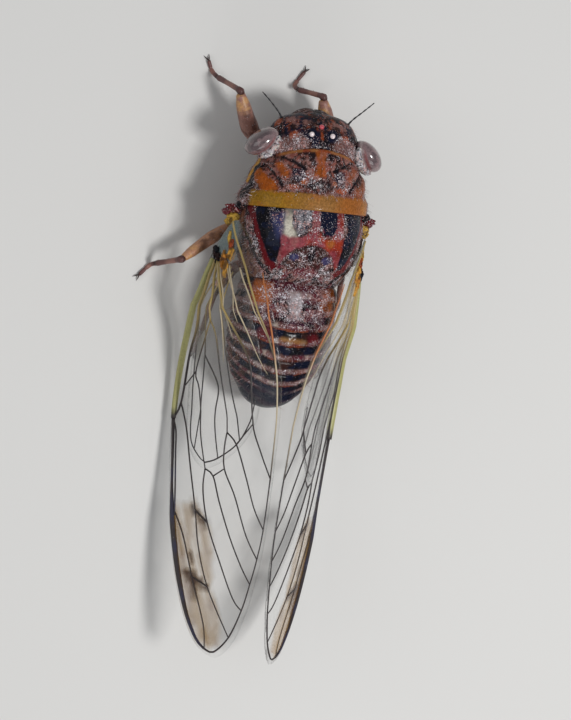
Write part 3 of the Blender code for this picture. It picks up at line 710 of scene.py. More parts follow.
BELLY = (0.14, 0.075, 0.055)

# Middle groove, sutures and leg sockets of the underside, in (side, distance back)
STERNUM_GROOVE = ((0.0, 2.5), (0.0, 11.6))
STERNUM_LINES = (
    ((0.0, 5.1), (1.2, 5.3), (2.4, 5.0), (3.4, 4.4)), ((0.0, 9.1), (1.0, 9.3), (2.2, 9.0), (3.6, 9.4)),
    ((0.8, 5.6), (1.1, 7.0)), ((0.7, 9.5), (0.8, 11.4)), ((2.4, 5.0), (2.9, 6.6)),
)
SOCKET_RADII = (0.78, 0.66)

# Marks in (girth, distance back) on the left half; the right half mirrors them unless a mark says otherwise.
# Lists of spots give each one's colour, strength, centre and radii.
HEAD_REAR = ((0.9, 1.95), (1.5, 1.65), (2.8, 1.8), (3.4, 2.2), (5.2, 2.4), (5.2, 3.2), (2.6, 2.9), (0.9, 2.6))
HEAD_BAND = ((2.7, 2.4), (3.4, 2.5), (4.6, 2.8))
HEAD_PINK_SPOT = ((1.7, 0.9), (0.9, 0.32))
HEAD_GROOVE = ((0.0, 1.5), (0.0, 2.7))
HEAD_RUST_SPOTS = (
    (RUST, 1.0, (3.6, 0.95), (0.5, 0.25)), (RUST, 1.0, (1.9, 1.75), (0.38, 0.22)),
    (RUST, 0.8, (0.0, 1.85), (0.12, 0.3)),
)
HEAD_BUMPS = ((0.75, 1.75), (0.55, 0.45), 0.6)
HEAD_DARK_SPOTS = ((BLACK, 0.6, (3.6, 1.6), (0.5, 0.35)), (BLUE_BLACK, 0.9, (0.75, 1.75), (0.48, 0.42)))
PRONOTUM_BLACK = ((0.45, 2.85), (1.5, 2.8), (1.45, 3.4), (0.5, 3.45))
PRONOTUM_REAR_BLACK = ((0.0, 4.8), (0.75, 4.72), (0.8, 5.3), (0.2, 5.6), (0.0, 5.6))
PRONOTUM_GLASS = ((0.0, 2.6), (0.55, 2.62), (0.3, 3.1), (0.22, 3.7), (0.36, 4.0), (0.42, 4.5), (0.0, 4.6))
PRONOTUM_FURROWS = (
    ((2.55, 3.03), (1.8, 3.56), (0.95, 4.1)), ((4.3, 3.3), (3.45, 4.1), (2.62, 5.05), (2.5, 5.35)),
)
PRONOTUM_DARK_LINES = (*PRONOTUM_FURROWS, ((5.0, 3.4), (4.5, 3.6), (4.25, 3.4)))
PRONOTUM_OUTER_LOBE = ((5.3, 4.15), (4.57, 3.66), (4.2, 3.94), (3.63, 4.6), (3.02, 5.0), (2.73, 5.6),
                       (3.99, 5.8), (4.71, 5.12))
PRONOTUM_INNER_LOBE = ((3.25, 3.45), (2.7, 3.35), (2.16, 4.2), (2.2, 4.7), (2.65, 4.5))
PRONOTUM_ORANGE_SPOT = ((1.12, 4.9), (0.2, 0.18))
PRONOTUM_GREY = ((1.87, 3.94), (1.2, 3.99), (1.0, 4.6), (1.44, 5.08), (1.96, 4.51))
PRONOTUM_RUST_SPOT = ((1.76, 5.35), (0.4, 0.2))
PRONOTUM_SIDE_OCHRE = ((5.2, 2.95), (5.65, 3.2), (6.0, 4.0), (6.25, 4.9))
PRONOTUM_SIDE_BLACK = ((4.95, 3.3), (5.35, 3.9), (5.45, 4.8), (5.3, 5.3), (5.7, 5.9), (6.3, 6.0))
COLLAR_OCHRE_SPOT = ((-4.6, 6.3), (0.8, 0.5))
THORAX_RED_LINE = ((5.1, 6.9), (4.5, 7.5), (3.9, 8.7), (2.95, 10.3), (2.35, 10.8))
THORAX_SILVER_LINE = ((5.4, 7.4), (5.03, 8.3), (4.25, 9.3), (3.3, 10.35))
THORAX_BLACK_LINE = ((5.6, 7.6), (5.2, 8.6), (4.4, 9.7), (3.6, 10.55), (2.3, 11.3))
THORAX_OUTER_BLACK = ((4.5, 6.6), (2.25, 6.6), (2.6, 7.9), (2.3, 8.6), (2.2, 10.0), (2.3, 10.5), (2.7, 10.4),
                      (3.46, 9.28), (4.3, 7.7))
THORAX_BLUE = ((3.1, 7.2), (2.17, 7.2), (2.25, 8.3), (2.5, 8.8), (2.9, 8.0))
THORAX_INNER_BLACK = ((0.29, 6.6), (1.6, 6.6), (1.6, 7.85), (1.18, 8.45), (0.75, 8.35), (0.33, 7.75))
THORAX_CRIMSON = ((2.32, 8.4), (1.8, 8.65), (0.8, 8.6), (0.3, 8.25), (0.0, 8.2), (0.0, 9.05), (0.4, 9.1),
                  (0.95, 9.3), (1.6, 9.8), (2.05, 10.5), (2.4, 9.9))
THORAX_STRIPE = ((1.62, 6.6), (2.15, 6.6), (2.2, 7.8), (2.15, 8.4), (1.66, 8.75), (1.22, 8.6), (1.56, 7.8))
# Painted sheen: line of the violet fringe beside the left stripe
THORAX_VIOLET_SHEEN = ((2.3, 7.2), (2.35, 8.6))
# Spots as centre, radii and, where it isn't the usual one, softness
THORAX_OCHRE_SPOT = ((-1.2, 8.85), (0.3, 0.28), 0.6)
THORAX_RED_SPOT = ((-0.02, 7.5), (0.3, 1.0))
THORAX_BLUE_SPOT = ((1.15, 10.0), (0.34, 0.26))
THORAX_BLACK_SPOT = ((0.0, 9.7), (0.26, 0.6))
THORAX_MAROON_SPOT = ((0.0, 10.9), (0.9, 0.3))
# Painted glints: two spots of extra silver pile, on the left outer black mark and on the crimson middle
THORAX_GLINT_SPOTS = (((2.95, 7.2), (0.5, 0.8), 0.5), ((-0.1, 8.5), (0.8, 0.5), 0.6))
THORAX_FLANK = ((5.7, 7.0), (5.45, 8.6), (4.65, 9.75), (3.8, 10.7), (3.2, 11.2), (3.6, 12.0), (7.5, 12.0),
                (7.5, 7.0))
THORAX_SEAMS = (((1.62, 6.6), (1.58, 7.8), (1.2, 8.55), (0.7, 8.55)), ((2.2, 6.6), (2.25, 8.6), (2.15, 10.1)))
CROSS_PATCH = ((0.0, 9.1), (0.6, 9.15), (1.2, 9.45), (1.6, 9.85), (1.85, 10.3), (1.6, 10.8), (0.8, 11.0),
               (0.0, 11.1))
CROSS_ARMS = (((0.15, 10.75), (0.8, 10.4), (1.35, 10.0)), ((0.1, 10.95), (0.9, 11.2), (1.6, 11.55)))
ABDOMEN_ORANGE = ((1.8, 11.9), (3.3, 11.7), (3.4, 12.9), (2.9, 13.4), (1.75, 13.3))
# Painted highlight: a soft silver-white patch on the top of the abdomen
ABDOMEN_HIGHLIGHT = ((0.6, 12.4), (-0.25, 12.4), (-0.45, 13.9), (0.35, 13.95))
ABDOMEN_BLACK_LINES = ((((1.45, 13.1), (0.6, 13.05), (0.5, 13.75)), 0.32), (((0.65, 14.1), (1.5, 14.4)), 0.3))
ABDOMEN_RED_SPOT = ((1.75, 15.2), (0.5, 0.4), 0.5)
ABDOMEN_OCHRE_LINE = ((0.5, 15.5), (-1.2, 15.5))


def two_sided(s, t, seed, amount=0.1):
    """Places folded on to the left half, with edges that differ a little from side to side."""
    a, b = ragged(s, t, seed, 0.3, amount)
    return np.abs(a), b


def mottled(s, t, colours, size, seed):
    """Blend of a few colours in patches of about one size."""
    first, *others = colours
    coats = [(colour, cloudy(plane(s, t), size, seed + 7 * k, 0.46, 0.62)) for k, colour in enumerate(others)]
    return lay(np.full(s.shape + (3,), first), *coats)


def spots(u, v, table):
    return [(colour, strength * in_spot(u, v, centre, radii)) for colour, strength, centre, radii in table]


def strongest(shares):
    return np.max(list(shares), axis=0)


def between(value, start, full, last, end):
    """0 up to start, 1 from full to last and 0 from end on."""
    return fade(value, start, full) * fade(value, end, last)


def thinned(pile, *marks):
    """Share of pile where marks thin it, each given as how much it does so and its own share."""
    for amount, share in marks:
        pile = pile * (1 - amount * share)
    return pile


def belly(colours, pile, angle, points, colour=BELLY):
    """Paler, powdery skin towards the underside, darker in the middle and round the roots of the legs."""
    share = fade(np.sin(angle), -0.25, -0.55)
    marks = sternum_marks(points)
    colours = lay(colours, (colour, share), (COPPER, share * cloudy(points, 0.7, 95, 0.42, 0.6)),
                  (DARK_BROWN, share * marks))
    return colours, pile * (1 - share) + 0.4 * share * (1 - marks)


def sternum_marks(points):
    x, y = points[..., 0], points[..., 1]
    groove = 0.8 * on_line(x, y, STERNUM_GROOVE, 0.08, 0.12)
    lines = [0.8 * on_line(np.abs(x), y, line, 0.07, 0.1) for line in STERNUM_LINES]
    sockets = [0.9 * in_spot(x, y, upper[0], SOCKET_RADII, 0.25) for upper, _ in LEGS.values()]
    return strongest([groove, *lines, *sockets])


def head_paint(s, t, angle, points):
    u, v = two_sided(s, t, SEED + 1)
    rear = in_polygon(u, v, HEAD_REAR, 0.15)
    band = on_line(u, v, HEAD_BAND, 0.5, 0.2)
    base = lay(
        mottled(s, t, (BLUE_BLACK, DARK_BROWN, BLACK), 0.5, SEED),
        (RUST, 0.6 * cloudy(points, 0.3, 49, 0.58, 0.68) * fade(v, 1.7, 1.2)),
        (PINK, 0.6 * cloudy(points, 0.18, 57, 0.6, 0.7) * fade(v, 2.2, 1.4)),
        (PINK, 0.8 * in_spot(u, v, *HEAD_PINK_SPOT) * patchy(points, 0.25, 3, 0.35, 0.6)),
        *spots(u, v, HEAD_RUST_SPOTS),
        (PINK, 0.5 * rear),
        *spots(u, v, HEAD_DARK_SPOTS),
    )
    pile = 0.26 + 0.7 * rear + 0.9 * band + 0.2 * fade(v, 1.6, 2.3)
    return with_pile(*belly(base, pile, angle, points, PINK))


def collar_paint(s, t):
    """Olive gold on the left, tan in the middle and orange brown on the right, with fine cross streaks."""
    streaks = layered(plane(s * 3.0, t * 0.6), 0.12, 31)
    clouds = layered(plane(s * 0.7, t * 1.6), 0.7, SEED + 32)
    gold = lay(
        np.full(s.shape + (3,), COLLAR_TAN),
        (OLIVE_GOLD, fade(s, 0.0, 2.8)),
        (ORANGE, 0.5 * fade(s, -0.8, -2.2)),
        (OCHRE, 0.2 * in_spot(s, t, *COLLAR_OCHRE_SPOT)),
        (DARK_BROWN, fade(np.abs(s), 5.0, 5.5)),
        (RUST, 0.3 * fade(clouds, 0.5, 0.75)),
    )
    return gold * (0.5 + 0.5 * streaks[..., None] + 0.5 * clouds[..., None])


def pronotum_paint(s, t, angle, points):
    u, v = two_sided(s, t, SEED + 2)
    left = 0.45 + 0.55 * fade(s, -1.0, 1.0)
    lobes = in_polygon(u, v, PRONOTUM_OUTER_LOBE, 0.1) * left
    inner = in_polygon(u, v, PRONOTUM_INNER_LOBE, 0.09) * left
    glass = in_polygon(u, v, PRONOTUM_GLASS, 0.08)
    grey = in_polygon(u, v, PRONOTUM_GREY, 0.1)
    orange = (0.75 + 0.5 * noise(points, 0.4, 19))[..., None] * np.array(ORANGE)
    width = 0.1 + 0.2 * noise(points, 0.3, 71)
    furrows = strongest(on_line(u, v, line, width, 0.06) for line in PRONOTUM_DARK_LINES)
    side_black = on_line(u, v, PRONOTUM_SIDE_BLACK, 0.75, 0.12)
    ochre = on_line(u, v, PRONOTUM_SIDE_OCHRE, 0.62, 0.1)
    front = fade(t, 2.95, 2.8) * fade(u, 3.2, 2.6)
    black = 0.9 * patchy(points, 0.2, 9, 0.2, 0.45)
    collar = fade(t + 0.16 * (noise(points, 0.25, 29) - 0.5), 5.62, 5.8) * (1 - fade(u, 5.0, 5.5) * 0.9)
    base = lay(
        mottled(s, t, (DARK_BROWN, PINK, DUSTY_RED), 0.3, SEED + 4),
        (DARK_BROWN, 0.4 * fade(v, 4.2, 5.0) * patchy(points, 0.35, 67, 0.3, 0.6)),
        (BLACK, black * in_polygon(u, v, PRONOTUM_BLACK, 0.09)),
        (BLACK, black * in_polygon(u, v, PRONOTUM_REAR_BLACK, 0.1)),
        (orange, 0.65 * glass),
        (orange, lobes),
        (orange, 0.85 * inner),
        (orange, 0.7 * in_spot(u, v, *PRONOTUM_ORANGE_SPOT)),
        (BLUE_BLACK, 0.9 * grey),
        (RUST, in_spot(u, v, *PRONOTUM_RUST_SPOT)),
        (BLACK, 0.98 * furrows),
        (BLACK, 0.97 * side_black),
        (OCHRE, ochre),
        (RUST, 0.8 * front),
        (TAN, 0.5 * front * patchy(points, 0.5, 39, 0.35, 0.6)),
        (collar_paint(s, t), collar),
    )
    pile = thinned(0.42 + 0.25 * fade(v, 4.0, 5.2) + 0.25 * grey, (0.85, lobes), (0.6, inner), (0.7, front),
                   (0.5, glass), (0.8, ochre), (0.6, side_black), (0.9, furrows))
    pile = pile + 0.35 * fade(u, 5.2, 5.7) * fade(v, 5.9, 6.3)
    edges = 0.4 * fade(t, 6.15, 5.8) * fade(u, 2.8, 1.0) + 0.4 * fade(u, 4.9, 5.3)
    pile = pile * (1 - collar) + collar * (0.02 + edges)
    return with_pile(*belly(base, pile, angle, points))


def thorax_red(s, v, t, points):
    """Red between the black marks, with scarlet, dark and pale clouds and fine cross streaks."""
    red = lay(
        np.full(s.shape + (3,), CRIMSON),
        (SCARLET, fade(s, 0.9, 0.1) * patchy(points, 0.5, 23, 0.25, 0.6)),
        (DEEP_RED, 0.6 * cloudy(points, 0.6, 33, 0.5, 0.7)),
        (PINK, 0.5 * cloudy(points, 0.5, 34, 0.5, 0.7) * fade(s, 0.2, 1.0)),
        (OCHRE, 0.28 * in_spot(s, v, *THORAX_OCHRE_SPOT)),
    )
    return red * (0.65 + 0.7 * layered(plane(s * 2.5, t * 0.5), 0.3, 35))[..., None]


def thorax_paint(s, t, angle, points):
    u, v = two_sided(s, t, SEED + 6, 0.08)
    left = fade(s, -0.1, 0.2)
    speckled = fade(s, 0.0, -0.3)
    stripe = in_polygon(u, v, THORAX_STRIPE, 0.06)
    crimson = in_polygon(u, v, THORAX_CRIMSON, 0.1)
    inner = in_polygon(u, v, THORAX_INNER_BLACK, 0.05)
    outer = in_polygon(u, v, THORAX_OUTER_BLACK, 0.06)
    blue_spots = in_spot(u, v, *THORAX_BLUE_SPOT)
    edge = on_line(u, v, THORAX_RED_LINE, 0.5, 0.1) * (1 - outer)
    black_line = on_line(u, v, THORAX_BLACK_LINE, 0.24, 0.06)
    side = in_polygon(u, v, THORAX_FLANK, 0.25)
    # Painted highlight: how strongly cream glare covers the left stripe, stronger further back
    glare_share = 0.25 + 0.65 * cloudy(plane(s, t), 0.5, 43, 0.15, 0.5) * fade(v, 6.7, 7.9)
    red = thorax_red(s, v, t, points)
    base = lay(
        mottled(s, t, (DARK_BROWN, PINK, MAROON, BLACK), 0.32, SEED + 8),
        (red, crimson),
        (CRIMSON, 0.7 * in_spot(s, v, *THORAX_RED_SPOT)),
        (red, 0.9 * stripe * (1 - left)),
        # Painted highlight: cream glare over the left stripe, which is red on the right
        (CREAM, in_polygon(u, v, THORAX_STRIPE, 0.16) * left * glare_share),
        # Painted sheen: violet fringe beside the left stripe's glare
        (VIOLET_SHEEN, 0.7 * left * on_line(u, v, THORAX_VIOLET_SHEEN, 0.25, 0.2)),
        (BLUE_BLACK, inner),
        # Painted glare: silver laid over the left inner black mark, which is black beneath
        (SILVER, 0.35 * inner * left * patchy(points, 0.2, 53, 0.2, 0.6)),
        (BLUE_BLACK, outer),
        (BLACK, outer * cloudy(plane(s, t), 0.5, 77, 0.4, 0.6)),
        (BLUE_SHEEN, 0.8 * in_polygon(s, v, THORAX_BLUE, 0.3)),
        (DARK_BROWN, 0.7 * in_polygon(u, v, CROSS_PATCH, 0.1)),
        (BLACK, 0.95 * in_spot(s, v, *THORAX_BLACK_SPOT)),
        (BLUE_SHEEN, 0.7 * blue_spots),
        (MAROON, 0.8 * in_spot(s, v, *THORAX_MAROON_SPOT)),
        (DEEP_RED, edge),
        (BLACK, black_line),
        (DARK_BROWN, 0.5 * side),
        (COPPER, 0.8 * side * cloudy(points, 0.4, 93, 0.42, 0.6)),
    )
    pile = thinned(0.75, (outer, 0.85 - 0.25 * speckled), (0.6 * inner, speckled), (0.75, crimson),
                   (0.8, edge), (0.95 * stripe, left), (0.8, black_line), (0.4, blue_spots))
    # Painted glint: extra silver pile in a spot on the left outer black mark
    pile = pile + 0.4 * outer * left * in_spot(u, v, *THORAX_GLINT_SPOTS[0])
    pile = pile + 0.3 * on_line(u, v, THORAX_SILVER_LINE, 0.26, 0.1) + 0.3 * fade(v, 10.6, 11.1)
    # Painted glint: extra silver pile in a spot on the crimson middle
    pile = pile + 0.35 * crimson * in_spot(s, v, *THORAX_GLINT_SPOTS[1])
    return with_pile(*belly(base, pile * (1 - side) + 0.28 * side, angle, points))


def ring_share(t, angle):
    """How far along its ring a place on the abdomen is, from 0 to 1; the rings lean towards the belly."""
    edges = np.array(RINGS)
    t = t + RING_LEAN * fade(t, 11.5, 17.0) * np.minimum(1.0 - np.sin(angle), 1.1)
    k = np.clip(np.searchsorted(edges, t, side="right") - 1, 0, len(edges) - 2)
    return np.clip((t - edges[k]) / (edges[k + 1] - edges[k]), 0.0, 1.0)


def abdomen_paint(s, t, angle, points):
    u, v = two_sided(s, t, SEED + 12, 0.08)
    share = ring_share(t + 0.16 * (layered(plane(s, t), 0.6, 51) - 0.5), angle)
    band = between(share, 0.45, 0.68, 0.84, 0.93)
    margin = between(share, 0.84, 0.9, 0.985, 1.0)
    patches = patchy(plane(s, t * 0.5), 0.9, 15, 0.35, 0.65)
    front = fade(t, 14.7, 14.0) * fade(u, 2.9, 2.2)
    highlight = in_polygon(s, v, ABDOMEN_HIGHLIGHT, 0.35)
    ochre = on_line(s, v, ABDOMEN_OCHRE_LINE, 0.3, 0.16)
    tip = fade(t, 18.4, 19.0)
    base = lay(
        mottled(s, t, (BLUE_BLACK, DARK_BROWN, BLACK), 0.6, SEED + 14),
        (COPPER, 0.5 * fade(u, 2.0, 3.2) * cloudy(points, 0.5, 94, 0.45, 0.65)),
        (PINK, (0.5 + 0.35 * fade(u, 0.8, 1.6)) * band * patches),
        (MAROON, 0.8 * band * (1 - patches)),
        # Painted highlights: cream flecks along the bands
        (CREAM, 0.4 * band * patchy(points, 0.28, 17, 0.58, 0.78)),
        (RUST, 0.6 * margin * (0.15 + 0.85 * patchy(points, 0.6, 14, 0.4, 0.65))),
        (MAROON, 0.5 * front),
        (ORANGE, in_polygon(u, v, ABDOMEN_ORANGE, 0.2) * (0.55 + 0.45 * fade(s, -1.0, 1.0))),
        # Painted highlight: silver over the top of the abdomen
        (SILVER, 0.8 * highlight),
        *[(BLACK, 0.95 * on_line(u, v, line, width, 0.12)) for line, width in ABDOMEN_BLACK_LINES],
        (COLLAR_TAN, 0.8 * ochre),
        (DEEP_RED, 0.8 * in_spot(u, v, *ABDOMEN_RED_SPOT)),
        (BLUE_BLACK, 0.85 * tip),
    )
    # The painted highlight also thickens the pile on the top of the abdomen
    pile = 0.12 + 0.7 * band * (0.5 + 0.5 * patches) + 0.65 * front + 0.5 * highlight - 0.5 * tip - 0.3 * ochre
    base, pile = belly(base, pile, angle, points)
    below = fade(np.sin(angle), -0.2, -0.45)
    seam = fade(share, 0.22, 0.02)
    middle = fade(np.abs(points[..., 0] - 0.2), 0.9, 0.4)
    base = lay(base, (DARK_BROWN, 0.85 * below * seam), (TAN, 0.6 * below * margin),
               (DARK_BROWN, 0.5 * below * middle))
    return with_pile(base, pile)


# Relief: heights above the body's plain surface, with a little unevenness over all of it

def uneven(s, t, size, seed):
    return layered(plane(s, t), size, seed) - 0.5


def head_relief(s, t, angle):
    brow = 0.05 * in_spot(np.abs(s), t, *HEAD_BUMPS)
    return brow - 0.05 * on_line(s, t, HEAD_GROOVE, 0.1, 0.12) + 0.08 * uneven(s, t, 0.45, 61)


def pronotum_relief(s, t, angle):
    u = np.abs(s)
    outer = in_polygon(u, t, PRONOTUM_OUTER_LOBE, 0.35)
    inner = in_polygon(u, t, PRONOTUM_INNER_LOBE, 0.3)
    lift = 0.14 * outer + 0.1 * inner + 0.07 * in_polygon(u, t, PRONOTUM_GLASS, 0.25)
    furrows = sum(on_line(u, t, line, 0.1, 0.16) for line in PRONOTUM_FURROWS)
    dents = 0.1 * uneven(s, t, 0.4, 62) * fade(t, 5.8, 5.5) + 0.02 * uneven(s * 2.0, t, 0.3, 66)
    return lift - 0.16 * furrows + dents


def thorax_relief(s, t, angle):
    u = np.abs(s)
    seams = sum(on_line(u, t, line, 0.04, 0.1) for line in THORAX_SEAMS)
    arms = sum(on_line(u, t, arm, 0.14, 0.22) for arm in CROSS_ARMS)
    ridge = on_line(u, t, THORAX_SILVER_LINE, 0.2, 0.12)
    groove = on_line(u, t, THORAX_BLACK_LINE, 0.1, 0.15)
    hollow = in_polygon(u, t, CROSS_PATCH, 0.25)
    lift = 0.05 * ridge - 0.09 * groove + 0.24 * arms - 0.05 * seams - 0.14 * hollow
    return lift + (0.04 + 0.08 * fade(t, 9.6, 10.4)) * uneven(s, t, 0.4, 63)


def abdomen_relief(s, t, angle):
    share = ring_share(t, angle)
    step = 0.08 * between(share, 0.0, 0.85, 0.96, 1.0) - 0.07 * fade(share, 0.12, 0.0)
    dents = between(np.abs(s), 0.4, 0.9, 1.1, 1.6) * between(share, 0.1, 0.3, 0.4, 0.6)
    return step - 0.03 * dents + 0.05 * uneven(s, t, 0.45, 64)


# Plates of the trunk: name, slot, sections, relief and paint
PLATES = (
    ("head", "head_shell", HEAD_SECTIONS, head_relief, head_paint),
    ("pronotum", "pronotum_shell", PRONOTUM_SECTIONS, pronotum_relief, pronotum_paint),
    ("mesothorax", "thorax_shell", THORAX_SECTIONS, thorax_relief, thorax_paint),
    ("abdomen", "abdomen_shell", ABDOMEN_SECTIONS, abdomen_relief, abdomen_paint),
)


def underside(sections, back, angle):
    """Depth of the grooves and leg sockets of the underside."""
    if sections is ABDOMEN_SECTIONS:
        return 0.0
    return 0.12 * sternum_marks(body_point(sections, back, angle)) * fade(np.sin(angle), -0.2, -0.5)


def make_trunk(shell):
    for name, slot, sections, relief, paint in PLATES:
        back, angle = body_grid(sections)
        s = girth(sections, back, angle)
        lift = relief(s, back, angle) - underside(sections, back, angle)
        points = body_point(sections, back, angle, lift)
        colours = paint(s, back, angle, points).reshape(-1, 4)
        points = points.reshape(-1, 3)
        colours[:, 3] *= 0.45 + 0.85 * cloudy(points, 0.55, SEED + 90, 0.3, 0.65)
        faces = [f[::-1] for f in closed_grid(*back.shape)]
        make_piece(name + "_shell", (points, faces, colours), shell, [name])


# Wings

def wing_points(spots, side, sink=0.0):
    """Places on the roof of a wing: s along it, w up from its lowest line, sink below its surface."""
    s, w = np.asarray(spots, float).T
    t = WING_START + s
    slope = np.radians(straight(ROOF_SLOPES, t))
    rise = HINGE_RISE * np.maximum(0.0, 1.0 - s / HINGE_REACH)
    height = w * WING_SCALE
    across = np.clip(height / WING_DEPTH, 0.0, 1.0)
    bulge = straight(ROOF_BULGES[side], t) * 4.0 * across * (1.0 - across) - sink
    x = WING_FOOT_X + HINGE_LEAN * rise - height * np.cos(slope) + bulge * np.sin(slope)
    z = WING_FOOT_Z + rise + height * np.sin(slope) + bulge * np.cos(slope)
    if side > 0:
        return np.stack((x + ROOF_SHIFT, t, z), -1)
    yaw = math.radians(RIGHT_YAW)
    return np.stack((ROOF_SHIFT - x + s * math.sin(yaw), WING_START + s * math.cos(yaw), z), -1)


def wing_cells(outline):
    """Flat points and faces of one sheet of even cells inside a wing's outline."""
    border = smooth_line(outline, CELL, closed=True)
    low, high = border.min(0), border.max(0)
    columns, rows = ((high - low) / CELL).astype(int)
    i, j = np.meshgrid(np.arange(1, columns + 1), np.arange(1, rows + 1), indexing="ij")
    grid = plane(low[0] + i * CELL, low[1] + (j + 0.5 * (i % 2) - 0.25) * CELL).reshape(-1, 2)
    inner = in_polygon(*grid.T, border, 0.01) > 0.5
    away = to_line(*grid.T, [*border, border[0]])
    flat = [Vector(p) for p in np.concatenate((border, grid[inner & (away > 0.5 * CELL)])).tolist()]
    loop = [list(range(len(border)))]
    points, _, faces = delaunay_2d_cdt(flat, [], loop, 1, 1e-4)[:3]
    return np.array([tuple(p) for p in points]), faces


def wing_skin(name, slot, outline, veins, side, sink, reach, tint, material):
    """Clear skin of a wing, a little wrinkled between its veins."""
    spots, faces = wing_cells(outline)
    nearest = np.min([to_line(*spots.T, smooth_line(corners, 0.6)) for corners in veins.values()], axis=0)
    wrinkle = reach * fade(nearest, 0.0, 0.8) * (layered(spots * (1.0, 2.2), 1.6, SEED + 3) - 0.35)
    points = wing_points(spots, side, sink - wrinkle)
    outward = [f[::-1] for f in faces] if side > 0 else faces
    shape = (points, outward, tint(*spots.T))
    obj = make_piece(f"{slot}_skin_{name}", shape, material, [f"{slot}_{name}"])
    shell = obj.modifiers.new("thickness", "SOLIDIFY")
    shell.thickness = MEMBRANE * MM
    shell.offset = 0.0


VEIN_SIDES = 8
# Radii of the veins along their length, in even steps
PLAIN_WIDTHS = (0.055, 0.042)
PLEAT_WIDTHS = (0.06, 0.05, 0.012)
FORE_WIDTHS = {
    "costa": (0.18, 0.24, 0.23, 0.18), "front_edge": (0.13, 0.1, 0.1, 0.21, 0.2, 0.18, 0.13, 0.08),
    "front_twin": (0.06, 0.06), "edge": (0.07, 0.05, 0.045, 0.05), "radius": (0.12, 0.09, 0.07),
    "radial_rear": (0.06, 0.05, 0.04), "radial_front": (0.06, 0.05, 0.045), "cross_far": (0.06, 0.06),
    "cross_near": (0.07, 0.07), "media": (0.1, 0.07), "cubitus": (0.1, 0.06, 0.045),
    "claval": (0.09, 0.07, 0.05), "claval_fold": (0.06, 0.05, 0.015),
    "hind_edge": (0.03, 0.06, 0.06, 0.055, 0.05, 0.05),
    **{word: PLEAT_WIDTHS for word in FOREWING_VEINS if word.startswith("pleat")},
}
RIGHT_WIDTHS = {**FORE_WIDTHS, "costa": (0.2, 0.3, 0.31, 0.24)}


def evenly(values, count):
    """Values at a number of even steps between those of a short row."""
    return np.interp(np.linspace(0.0, 1.0, count), np.linspace(0.0, 1.0, len(values)), values)


def wing_veins(name, slot, veins, widths, side, sink, tint, material):
    parts = []
    for word, corners in veins.items():
        run = smooth_line(corners, 0.3)
        radii = evenly(widths.get(word, PLAIN_WIDTHS), len(run))
        points, faces = tube_along(wing_points(run, side, sink), radii, VEIN_SIDES)
        parts.append((points, faces, tint(word, *np.repeat(run, VEIN_SIDES, axis=0).T)))
    make_piece(f"{slot}_veins_{name}", join(parts), material)


YELLOW_GREEN = (0.36, 0.34, 0.13)
VEIN_DARK = (0.022, 0.014, 0.014)
EDGE_NAVY = (0.02, 0.018, 0.04)
VEIN_TAN = (0.36, 0.26, 0.09)
VEIN_ORANGE = (0.42, 0.13, 0.03)
VEIN_PALE = (0.46, 0.38, 0.25)
SMOKE = (0.065, 0.026, 0.01)
VEIL = (0.38, 0.21, 0.04)
VEIL_DARK = (0.2, 0.08, 0.015)
ROOT_GREY = (0.14, 0.2, 0.2)
CLEAR_GREY = 0.3
# Smoky spots on two cross veins and a tan tint towards the tip, as (s, w) on the wing
SMOKE_SPOTS = (
    (((17.2, 3.6), (17.5, 3.8)), 0.42), (((17.4, 3.76), (18.0, 5.0)), 0.36),
    (((21.45, 3.95), (21.8, 4.5)), 0.7), (((21.7, 4.3), (22.3, 5.7)), 0.45),
    (((20.1, 3.9), (20.5, 4.3)), 0.2), (((22.1, 4.5), (22.9, 4.8)), 0.25),
)
TAN_VEIL = ((18.0, 1.6), (17.2, 2.5), (16.8, 3.5), (17.6, 4.9), (18.5, 5.4), (19.9, 5.96), (22.1, 6.1),
            (23.9, 7.0), (25.7, 7.6), (26.4, 6.7), (25.9, 5.2), (24.0, 3.9), (21.6, 2.7))
EDGE_VEIL = ((17.7, 2.0), (19.4, 2.75), (21.6, 3.65), (24.2, 5.0), (25.8, 6.3))
HIND_FILM = (0.4, 0.33, 0.3)


def vein_paint(word, s, w):
    base = lay(even(len(s), VEIN_DARK), (VEIN_TAN, fade(s, 7.5, 3.0)))
    if word == "costa":
        return lay(base, (YELLOW_GREEN, fade(s, 11.4, 10.6)))
    if word.startswith("front_"):
        return lay(base, (EDGE_NAVY, patchy(plane(s, w), 0.8, SEED + 29, 0.3, 0.6)))
    if word == "claval_fold" or word.startswith("pleat"):
        return even(len(s), VEIN_PALE)
    if word == "hind_edge":
        return lay(base, (VEIN_PALE, fade(s, 15.0, 10.0)), (VEIN_ORANGE, fade(s, 7.5, 5.5)))
    return base


